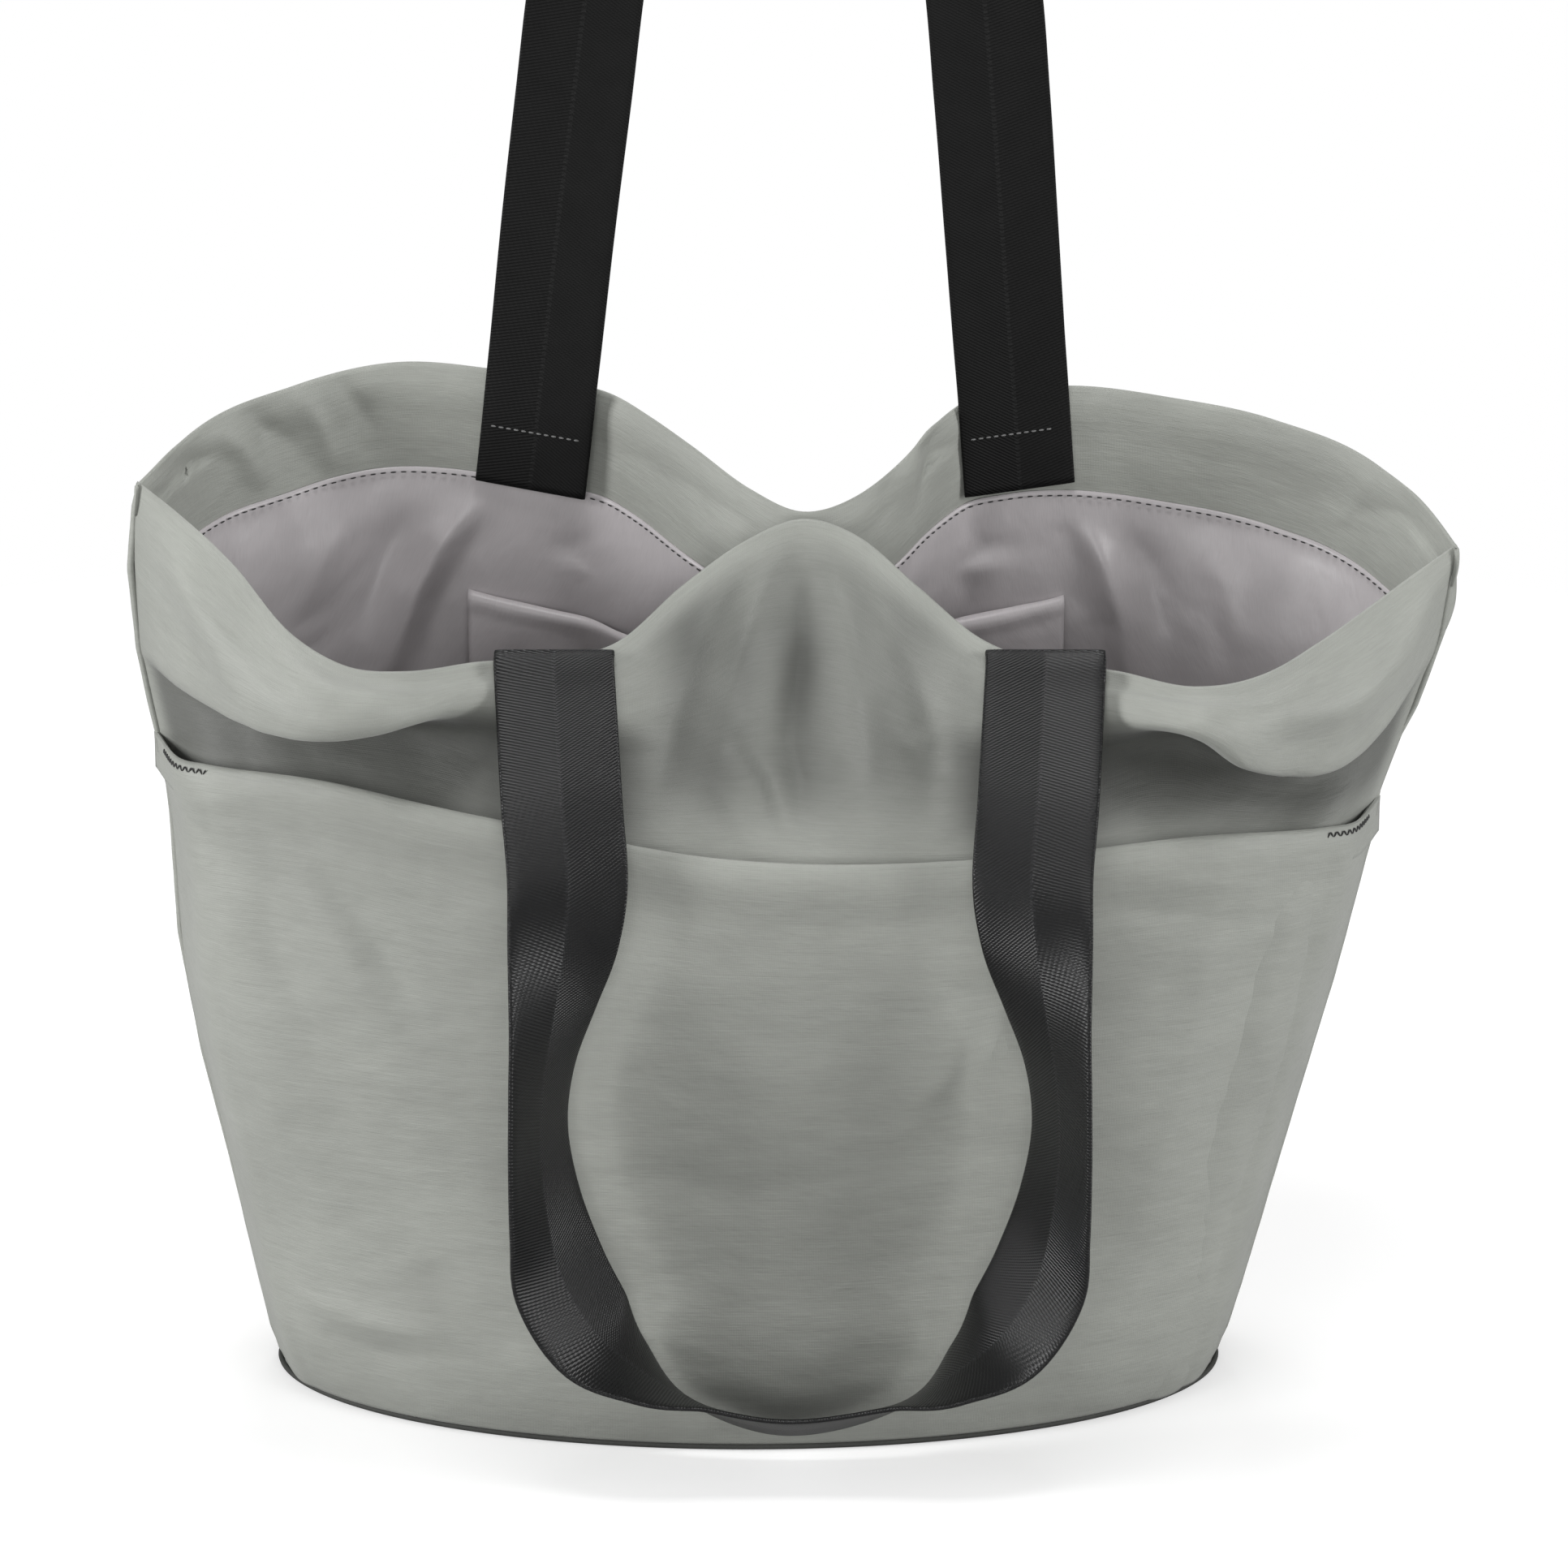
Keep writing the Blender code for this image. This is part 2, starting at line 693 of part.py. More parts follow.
def facing_bulge(side, skins, strap_x, x, z):
    """How far in the facing comes at a height, near x and under the webbing centred on strap_x."""
    reach, half = WEBBING_WIDTH / 4, WEBBING_WIDTH / 2
    spots = [min(max(x + reach * k / 4, strap_x - half), strap_x + half) for k in range(-4, 5)]
    ys = [level_point(skins[1], spot, z).y for spot in spots]
    return max(ys) if side == FRONT else min(ys)


def tab_profile(side, skins, strap_x, x):
    """Centre line of a sewn handle end at x: up the inside of the facing, and for the front one over the rim."""
    centre = rim_centre(skins, x)
    inset = TAB_GAP + WEBBING_T / 2
    path = []
    for below in (HANDLE_END_LENGTH, FACING_HEIGHT * 2 / 3, FACING_HEIGHT / 3, 0.0):
        z = centre.z - below
        bulge = facing_bulge(side, skins, strap_x, x, min(z, centre.z - 0.0001))
        path.append(Vector((x, bulge - side * inset, z)))
    if side == FRONT:
        radius = abs(path[-1].y - centre.y)
        path.pop()
        for angle in CORNER_TURN:
            a = radians(angle)
            path.append(Vector((x, centre.y + radius * cos(a), centre.z + radius * sin(a))))
    else:
        path[-1].z = centre.z + TAB_TOP
    return path


def tab_places(x):
    return [x + WEBBING_WIDTH * (j / 4 - 0.5) for j in range(5)]


def tab_faces(side, skins, strap_x, x):
    """The two faces of a sewn end at one place across its width, each a row of points."""
    path = tab_profile(side, skins, strap_x, x)
    near, far = [], []
    for i, point in enumerate(path):
        ahead = path[min(i + 1, len(path) - 1)] - path[max(i - 1, 0)]
        out = Vector((0, ahead.z, -ahead.y)).normalized()
        near.append(point + out * WEBBING_T / 2)
        far.append(point - out * WEBBING_T / 2)
    return near, far


def make_handle_end(side, skins, x, name, slot):
    """A sewn end as a grid across the webbing's width, so that it lies flat on the wall."""
    faces = [tab_faces(side, skins, x, place) for place in tab_places(x)]
    sheet_solid(name, [near for near, far in faces], [far for near, far in faces], slot)


def make_stitch(side, skins, x, name):
    """A row of thread across a sewn end, on the face towards the compartment."""
    columns = []
    for place in tab_places(x):
        near, far = tab_faces(side, skins, x, place)
        columns.append(near if abs(near[0].y) < abs(far[0].y) else far)
    low = max(column[0].z for column in columns) + STITCH_RISE
    rows = ([], [])
    for first, second, share in ((0, 1, 0.45), (1, 2, 0.0), (2, 3, 0.0), (3, 4, 0.0), (3, 4, 0.55)):
        spots = []
        for z in (low, low + THREAD_T):
            spots.append(at_height(columns[first], z).lerp(at_height(columns[second], z), share))
        for row, away in zip(rows, (FIT_GAP, FIT_GAP + THREAD_T)):
            row.append([p - Vector((0, side * away, 0)) for p in spots])
    sheet_solid(name, rows[0], rows[1], "thread")


def pocket_face(rows, x, z):
    """How far the front pocket's outside is from the middle plane at a place, or its hem above it."""
    spots = [at_height(row, min(z, row[-1].z)) for row in rows]
    for left, right in zip(spots, spots[1:]):
        if x <= right.x:
            return -left.lerp(right, (x - left.x) / (right.x - left.x)).y
    return -spots[-1].y


def make_front_loop(skins, full_grid):
    """The hanging handle: flat at the rim, turned edge-on at the bottom of its U, resting on the pocket."""
    middle, _ = hinge(FRONT, skins)
    left, right = strap_xs(FRONT)
    pocket = layer(full_grid, -POCKET_SKIN, 0, HEM_LINE, pocket_lift)
    tops = [rim_centre(skins, left), rim_centre(skins, right)]
    centre, half = (left + right) / 2, (right - left) / 2
    bottom_z = middle.z - HANDLE_DROP
    hem = BAG_HEIGHT * POCKET_SHARE
    # (share of the half spacing from the centre, share of the way from the hem down, turn)
    legs = [
        (0.925, 0.03, 13),
        (0.995, 0.22, 38),
        (1.055, 0.40, 60),
        (1.030, 0.59, 66),
        (0.950, 0.735, 66),
        (0.810, 0.82, 70),
        (0.620, 0.89, 78),
        (0.350, 0.96, 85),
    ]
    rows = []
    for sign, top in ((-1, tops[0]), (1, tops[1])):
        leg = []
        for angle in (170, 190):
            a = radians(angle)
            leg.append((top.x, top.y + LOOP_R * cos(a), top.z + LOOP_R * sin(a), 0.0))
        lower = []
        for out, down, turn in legs:
            x = centre + sign * out * half
            z = hem + (bottom_z - hem) * down
            reach = WEBBING_WIDTH / 2 * sin(radians(turn)) + WEBBING_T + STRAP_CLEARANCE
            inner_x = x - sign * WEBBING_WIDTH / 2 * cos(radians(turn))
            wall = max(pocket_face(pocket, x, z), pocket_face(pocket, inner_x, z))
            lower.append((x, -wall - reach, z, turn))
        first = lower[0]
        for down, out, turn in ((0.17, 0.21, 0), (0.50, 0.66, 5)):
            x = top.x + (first[0] - top.x) * down
            y = top.y - LOOP_R + (first[1] - top.y + LOOP_R) * out
            leg.append((x, y, top.z + (first[2] - top.z) * down, turn))
        rows.append(leg + lower)
    reach = WEBBING_WIDTH / 2 + WEBBING_T + STRAP_CLEARANCE
    bottom = (centre - 0.006, -pocket_face(pocket, centre, bottom_z) - reach, bottom_z, 90)
    mirrored = [(x, y, z, 180 - turn) for x, y, z, turn in rows[1]]
    path = evenly(curve_through(rows[0] + [bottom] + mirrored[::-1], 12), RIBBON_STEP)
    centres = [Vector(p[:3]) for p in path]
    widths = [Vector((-cos(radians(p[3])), -sin(radians(p[3])), 0)) for p in path]
    ribbon("front_handle_loop", centres, widths, "front_webbing", middle)


def make_back_loop(skins):
    """The raised handle: flat up its legs, its width turned towards Y over the arch."""
    middle, _ = hinge(BACK, skins)
    left, right = strap_xs(BACK)
    tops = [rim_centre(skins, left), rim_centre(skins, right)]
    # (share of the half spacing from the centre, share of the rise, turn)
    legs = [
        (1.00, 0.000, 0),
        (0.985, 0.060, 0),
        (0.90, 0.200, 0),
        (0.80, 0.360, 2),
        (0.70, 0.520, 8),
        (0.60, 0.680, 30),
        (0.49, 0.830, 62),
        (0.30, 0.950, 84),
    ]
    rows = []
    for sign, top in ((-1, tops[0]), (1, tops[1])):
        leg = []
        for out, rise, turn in legs:
            x = (left + right) / 2 + sign * out * (right - left) / 2
            leg.append((x, top.y - LOOP_R, top.z + LOOP_START + rise * HANDLE_RISE, turn))
        rows.append(leg)
    apex = ((left + right) / 2, tops[0].y - LOOP_R, middle.z + LOOP_START + HANDLE_RISE, 90)
    mirrored = [(x, y, z, 180 - turn) for x, y, z, turn in rows[1]]
    path = evenly(curve_through(rows[0] + [apex] + mirrored[::-1], 12), RIBBON_STEP)
    centres = [Vector(p[:3]) for p in path]
    widths = [Vector((-cos(radians(p[3])), -sin(radians(p[3])), 0)) for p in path]
    ribbon("back_handle_loop", centres, widths, "back_webbing", middle)


def make_handles(grids, full_grid):
    for side, word in ((FRONT, "front"), (BACK, "back")):
        skins = skins_of(grids[side])
        for x, hand in zip(strap_xs(side), ("left", "right")):
            make_handle_end(side, skins, x, f"{word}_handle_end_{hand}", f"{word}_webbing")
            make_stitch(side, skins, x, f"{word}_handle_stitch_{hand}")
    make_front_loop(skins_of(grids[FRONT]), full_grid)
    make_back_loop(skins_of(grids[BACK]))


def make_snap():
    """Magnetic snap at the pinched middle of the rim: the cup on the front facing, the stud on the back one."""
    top = BAG_HEIGHT * PINCH_SHARE
    centre = Vector((PINCH_X, 0, top - SNAP_BELOW_RIM))
    wall = SNAP_STACK / 2 - FIT_GAP
    floor = -wall + 0.0007
    cup = [(0, -wall), (SNAP_R, -wall), (SNAP_R, -0.0001), (SNAP_R - 0.0006, -0.0001)]
    cup += [(SNAP_R - 0.0006, floor), (0, floor)]
    turned("snap_magnet_cup", cup, centre, "snap_metal")
    ring_low, ring_high = floor + 0.0002, -0.0004
    magnet = [(STUD_R + 0.0006, ring_low), (MAGNET_R, ring_low), (MAGNET_R, ring_high)]
    magnet += [(STUD_R + 0.0006, ring_high)]
    turned("snap_magnet", magnet, centre, "magnet")
    plate = [(0, floor + 0.0004), (STUD_R, floor + 0.0004), (STUD_R, 0.0008), (SNAP_R - 0.001, 0.0008)]
    plate += [(SNAP_R - 0.001, wall), (0, wall)]
    turned("snap_stud_plate", plate, centre, "snap_metal")
    gap_middle = PINCH_DEPTH - CLOTH_T - LAYER_GAP / 2 + END_GAP
    for side, word in ((FRONT, "front"), (BACK, "back")):
        y0 = side * gap_middle - WASHER_T / 2
        y1 = side * gap_middle + WASHER_T / 2
        washer = [(0.0016, y0), (SNAP_R - 0.001, y0), (SNAP_R - 0.001, y1), (0.0016, y1)]
        turned(f"snap_washer_{word}", washer, centre, "snap_metal")


def main():
    clear_scene()
    grids = {side: wall_grid(side) for side in (FRONT, BACK)}
    make_shell(grids)
    make_facings(grids)
    make_linings(grids)
    make_bases(grids)
    make_binding(grids)
    make_seam_tapes(grids)
    full_grid = wall_grid(FRONT, pinched=False)
    make_front_pocket(full_grid)
    make_bartacks(full_grid)
    make_inner_pocket(grids)
    make_handles(grids, full_grid)
    make_snap()


main()
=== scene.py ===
from math import cos, pi, radians, sin

import bpy
import numpy as np
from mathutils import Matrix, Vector, noise


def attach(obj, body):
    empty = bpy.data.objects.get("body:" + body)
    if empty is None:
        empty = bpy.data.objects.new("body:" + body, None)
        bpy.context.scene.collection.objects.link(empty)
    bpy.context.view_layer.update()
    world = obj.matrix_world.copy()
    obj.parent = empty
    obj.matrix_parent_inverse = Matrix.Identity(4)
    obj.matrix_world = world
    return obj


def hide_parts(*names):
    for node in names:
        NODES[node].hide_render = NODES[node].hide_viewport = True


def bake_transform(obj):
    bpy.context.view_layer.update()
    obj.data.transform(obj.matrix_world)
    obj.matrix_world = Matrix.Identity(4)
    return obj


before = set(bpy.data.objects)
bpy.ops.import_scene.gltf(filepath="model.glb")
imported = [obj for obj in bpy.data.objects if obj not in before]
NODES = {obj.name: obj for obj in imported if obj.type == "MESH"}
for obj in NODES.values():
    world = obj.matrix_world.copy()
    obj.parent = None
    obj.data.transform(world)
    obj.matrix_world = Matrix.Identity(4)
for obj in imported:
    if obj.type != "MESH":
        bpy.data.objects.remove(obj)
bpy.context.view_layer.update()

MM = 0.001

# ---- sizes in millimetres ----

CLOTH_T = 0.8
LINING_T = 0.7
WEBBING_W = 38.0
WEBBING_T = 1.8
FACING = 40.0
HEM_TURN = 12.0
SEAM_LAP = 1.0
LAP_ROWS = 4
THREAD_OUT = LINING_T + 0.1
FACING_GAP = 1.3
LINING_GAP = 2.4
LINING_WIDTH = 0.984
BODY_TOP = 300.0
PINCH_X = 17.0
STRAP_HALF_SPREAD = 77.5
FRONT_STRAP_X = (PINCH_X - STRAP_HALF_SPREAD, PINCH_X + STRAP_HALF_SPREAD)
BACK_STRAP_X = (-67.5, 87.5)
BACK_STRAP_TURN = 13

# fine rows given to each cloth
FRONT_FINE, BACK_FINE, POCKET_FINE = 235, 225, 165
FRONT_LINING_FINE, BACK_LINING_FINE, PATCH_FINE = 130, 140, 110

# rows of the front wall's control table, counted from the base; the back wall shares the last two
BODY_ROW, FOLD_ROW, RIM_ROW, INNER_ROW = 4, 6, 8, 10

# the side seams as seen from the front: height, then X
LEFT_EDGE = [
    (0, -157), (9, -159.5), (36, -165), (72, -172), (108, -180), (150, -186.5), (192, -188), (210, -189.5),
    (220, -192), (230, -194), (248, -197), (275, -199), (303, -196),
]
RIGHT_EDGE = [
    (0, 157), (9, 160), (25, 164.5), (86, 180), (136, 193), (184, 203.7), (203, 206.3), (210, 208),
    (228, 217), (253, 225), (282, 229),
]

# the front wall at each station: X, then depth and height of the rim, the lobe's lip, the fold under it and
# the hollow above the pocket, and last the depth of the facing's lower edge
FRONT_STATIONS = [
    (-199, 0, 303, 0, 285, 0, 255, 0, 241, 0),
    (-185, -20, 299, -28, 280, -30, 250, -19, 240, -10),
    (-163, -45, 288, -62, 271, -66, 246, -34, 240, -24),
    (-142, -68, 272, -83, 262, -86, 245, -40, 239, -31),
    (-125, -76, 264, -88, 259, -91, 246, -42, 238, -34),
    (-106, -72, 261, -83, 256, -86, 248, -45, 237, -37),
    (-84, -55, 259, -62, 254, -65, 248, -54, 234, -43),
    (-61, -51, 259, -58, 253, -62, 245, -62, 228, -48),
    (-40, -46, 263, -52, 256, -59, 246, -64, 227, -46),
    (-20, -27, 276, -36, 264, -50, 250, -61, 227, -33),
    (0, -11, 287, -20, 273, -36, 257, -54, 228, -16),
    (17, -5, 292, -13, 277, -29, 260, -51, 230, -6),
    (34, -9, 288, -18, 274, -34, 257, -55, 228, -15),
    (55, -28, 276, -38, 264, -51, 250, -62, 227, -35),
    (75, -45, 264, -52, 257, -59, 245, -64, 226, -46),
    (95, -51, 258, -57, 252, -61, 244, -62, 225, -48),
    (119, -55, 256, -61, 251, -65, 244, -55, 229, -44),
    (143, -72, 256, -82, 253, -87, 246, -44, 233, -35),
    (169, -60, 258, -73, 248, -75, 231, -38, 223, -28),
    (183, -48, 263, -62, 248, -62, 226, -32, 218, -22),
    (215, -14, 276, -29, 258, -31, 233, -19, 222, -9),
    (229, 0, 282, 0, 268, 0, 253, 0, 238, 0),
]
FRONT_X, RIM_Y, RIM_Z, LIP_Y, LIP_Z, FOLD_Y, FOLD_Z, NOOK_Y, NOOK_Z, INNER_Y = zip(*FRONT_STATIONS)
MID_X, HALF_X = 15.0, 214.0

# X, depth and height of the back rim
BACK_RIM = [
    (-199, 0, 303), (-185, 33, 311), (-153, 66, 319), (-120, 78, 324), (-90, 74.5, 323), (-67.5, 70, 320),
    (-46, 65, 316), (-33, 50, 312), (-20, 34, 307), (0, 14, 297.5), (17, 5, 292.5), (34, 14, 295),
    (50, 33, 303), (60, 52, 309), (69, 64.5, 313), (87.5, 69.5, 317), (107, 74, 317), (140, 78, 312),
    (175, 71, 306), (208, 44, 297), (222, 20, 289), (229, 0, 282),
]


def smooth(x):
    x = np.clip(x, 0.0, 1.0)
    return x * x * (3 - 2 * x)


def spline(values, knots, at):
    """Smooth curve through rows of values at the knots, read at the places asked for."""
    values, knots, at = np.asarray(values, float), np.asarray(knots, float), np.asarray(at, float)
    gaps = np.diff(knots)
    steps = np.diff(values, axis=0) / gaps.reshape((-1,) + (1,) * (values.ndim - 1))
    slopes = np.empty_like(values)
    slopes[0], slopes[-1] = steps[0], steps[-1]
    for i in range(1, len(knots) - 1):
        share = gaps[i - 1] / (gaps[i - 1] + gaps[i])
        slopes[i] = steps[i - 1] * (1 - share) + steps[i] * share
    i = np.clip(np.searchsorted(knots, at, side="right") - 1, 0, len(knots) - 2)
    shape = (-1,) + (1,) * (values.ndim - 1)
    g = gaps[i].reshape(shape)
    t = (at - knots[i]).reshape(shape) / g
    start = values[i] * (1 + 2 * t) + slopes[i] * g * t
    end = values[i + 1] * (3 - 2 * t) - slopes[i + 1] * g * (1 - t)
    return start * (1 - t) ** 2 + end * t * t


def edge_x(edge, z):
    heights, places = zip(*edge)
    return np.interp(z, heights, places)


def wall_x(u, z):
    """X of a wall's point at share u of its half width, at a height."""
    left, right = edge_x(LEFT_EDGE, z), edge_x(RIGHT_EDGE, z)
    return (left + right) / 2 + u * (right - left) / 2


def refine(table, columns, fine_columns, row_count):
    """Control rows of points as a fine grid, and each fine row's place among the control rows."""
    wide = np.stack([spline(row, columns, fine_columns) for row in table])
    runs = np.linalg.norm(np.diff(wide, axis=0), axis=2).mean(axis=1)
    knots = np.concatenate([[0], np.cumsum(runs)])
    at = np.linspace(0, knots[-1], row_count)
    return spline(wide, knots, at), np.interp(at, knots, np.arange(len(knots)))


def normals_of(grid):
    across = np.gradient(grid, axis=1)
    along = np.gradient(grid, axis=0)
    out = np.cross(across, along)
    return out / np.maximum(np.linalg.norm(out, axis=2, keepdims=True), 1e-9)


def strokes(grid, lines, band=None):
    """Height of folds drawn over a grid: (height, width, [(x, z), ...]) each, fading out at both ends."""
    x, z = grid[..., 0], grid[..., 2]
    total = np.zeros(x.shape)
    for height, width, path in lines:
        path = np.array(path, float)
        lengths = np.linalg.norm(np.diff(path, axis=0), axis=1)
        whole, run = lengths.sum(), 0.0
        nearest = np.full(x.shape, 1e9)
        share = np.zeros(x.shape)
        for a, b, length in zip(path, path[1:], lengths):
            dx, dz = (b - a) / length
            along = np.clip((x - a[0]) * dx + (z - a[1]) * dz, 0, length)
            away = np.hypot(x - a[0] - along * dx, z - a[1] - along * dz)
            closer = away < nearest
            nearest = np.where(closer, away, nearest)
            share = np.where(closer, (run + along) / whole, share)
            run += length
        fade = np.sin(pi * np.clip(share, 0.02, 0.98)) ** 0.7
        total += height * fade * np.exp(-((nearest / width) ** 1.5))
    return total if band is None else total * band


def rough(grid, scale, seed, stretch=(1, 1, 1)):
    """Low smooth noise over a grid, from -1 to 1."""
    found = np.empty(grid.shape[:2])
    sx, sy, sz = (k / scale for k in stretch)
    for i, row in enumerate(grid):
        for j, (x, y, z) in enumerate(row):
            found[i, j] = noise.noise(Vector((x * sx + seed, y * sy - seed, z * sz + 2 * seed)))
    return found


BIN = 2.5


def inner_limit(wall):
    """A map over X and height of how near a wall comes to the middle plane."""
    across = np.round(wall[..., 0] / BIN).astype(int) + 100
    up = np.round(wall[..., 2] / BIN).astype(int) + 10
    chart = np.full((200, 160), 300.0)
    np.minimum.at(chart, (across.ravel(), up.ravel()), np.abs(wall[..., 1]).ravel())
    shifts = [(i, j) for i in (-1, 0, 1) for j in (-1, 0, 1)]
    for pick in (np.min, np.mean):
        chart = pick([np.roll(chart, shift, (0, 1)) for shift in shifts], axis=0)
    return chart


def keep_inside(grid, chart, gap, rows=None):
    """Moves a layer's points towards the middle plane until they clear the wall outside them."""
    x = np.clip(grid[..., 0] / BIN + 100, 0, 198)
    z = np.clip(grid[..., 2] / BIN + 10, 0, 158)
    i, j = x.astype(int), z.astype(int)
    a, b = x - i, z - j
    limit = chart[i, j] * (1 - a) * (1 - b) + chart[i + 1, j] * a * (1 - b)
    limit += chart[i, j + 1] * (1 - a) * b + chart[i + 1, j + 1] * a * b
    side = np.where(grid[..., 1] < 0, -1, 1)
    kept = side * np.minimum(np.abs(grid[..., 1]), np.maximum(limit - gap, 0))
    if rows is not None:
        kept = np.where(rows[:, None], kept, grid[..., 1])
    grid = grid.copy()
    grid[..., 1] = kept
    return grid


def seam_hold(columns):
    """1 over a panel, falling to 0 at its two side seams."""
    return smooth((1 - np.abs(columns)) / 0.035)[None, :]


def uv_of(grid):
    """Cloth coordinates in metres: along each row from its middle, and along the middle column."""
    steps = np.linalg.norm(np.diff(grid, axis=1), axis=2)
    across = np.concatenate([np.zeros((len(grid), 1)), np.cumsum(steps, axis=1)], axis=1)
    across -= across[:, -1:] / 2
    rise = np.linalg.norm(np.diff(grid, axis=0), axis=2).mean(axis=1)
    along = np.concatenate([[0], np.cumsum(rise)])
    return np.stack([across, np.repeat(along[:, None], grid.shape[1], axis=1)], axis=2) * MM


def placed(name, data):
    """An object of this data, in the scene."""
    obj = bpy.data.objects.new(name, data)
    bpy.context.scene.collection.objects.link(obj)
    return obj


def add_mesh(name, verts, faces, uvs, finish):
    """A mesh object from vertices in millimetres, with each vertex's place on the cloth as its cloth map."""
    mesh = bpy.data.meshes.new(name)
    mesh.from_pydata([tuple(v) for v in np.asarray(verts) * MM], [], faces)
    layer = mesh.uv_layers.new(name="cloth")
    loops = np.empty(len(mesh.loops), dtype=np.int32)
    mesh.loops.foreach_get("vertex_index", loops)
    layer.uv.foreach_set("vector", np.asarray(uvs, np.float32)[loops].ravel())
    mesh.materials.append(finish)
    mesh.polygons.foreach_set("use_smooth", [True] * len(mesh.polygons))
    obj = placed(name, mesh)
    return obj


def round_angles(count):
    return [2 * pi * k / count for k in range(count)]


def ring_faces(count, sides, first=0, closed=False):
    """Faces that join rings of points to each other, with an end face on both ends unless they close up."""
    faces = []
    for i in range(count if closed else count - 1):
        near, far = first + i * sides, first + (i + 1) % count * sides
        for k in range(sides):
            j = (k + 1) % sides
            faces.append((near + k, near + j, far + j, far + k))
    if not closed:
        faces.append(tuple(first + k for k in reversed(range(sides))))
        faces.append(tuple(first + (count - 1) * sides + k for k in range(sides)))
    return faces


def length_along(path):
    """Length of a path from its start to each of its points."""
    return np.concatenate([[0], np.cumsum(np.linalg.norm(np.diff(path, axis=0), axis=1))])


def cloth(name, grid, finish, thickness, flip=False, crease_shade=None):
    """A grid of points as cloth of a thickness, which grows inwards, with closed edges."""
    rows, columns = grid.shape[:2]
    out = normals_of(grid) * (-1 if flip else 1)
    outer = grid.reshape(-1, 3)
    inner = (grid - out * thickness).reshape(-1, 3)
    verts = np.concatenate([outer, inner])
    uvs = np.concatenate([uv_of(grid).reshape(-1, 2)] * 2)
    index = np.arange(rows * columns).reshape(rows, columns)
    a, b, c, d = index[:-1, :-1], index[:-1, 1:], index[1:, 1:], index[1:, :-1]
    front = np.stack([a, b, c, d], axis=2).reshape(-1, 4)
    back = front[:, ::-1] + rows * columns
    rim = np.concatenate([index[0, :], index[1:, -1], index[-1, -2::-1], index[-2:0:-1, 0]])
    ahead = np.roll(rim, -1)
    shift = rows * columns
    sides = np.stack([ahead, rim, rim + shift, ahead + shift], axis=1)
    faces = np.concatenate([front, back, sides])
    if flip:
        faces = faces[:, ::-1]
    obj = add_mesh(name, verts, faces.tolist(), uvs, finish)
    # stores each point's share of painted shade, which the shell finish darkens its colour by
    if crease_shade is not None:
        values = np.concatenate([crease_shade.ravel()] * 2).astype(np.float32)
        obj.data.attributes.new("crease_shade", "FLOAT", "POINT").data.foreach_set("value", values)
    return obj


# ---- finishes ----


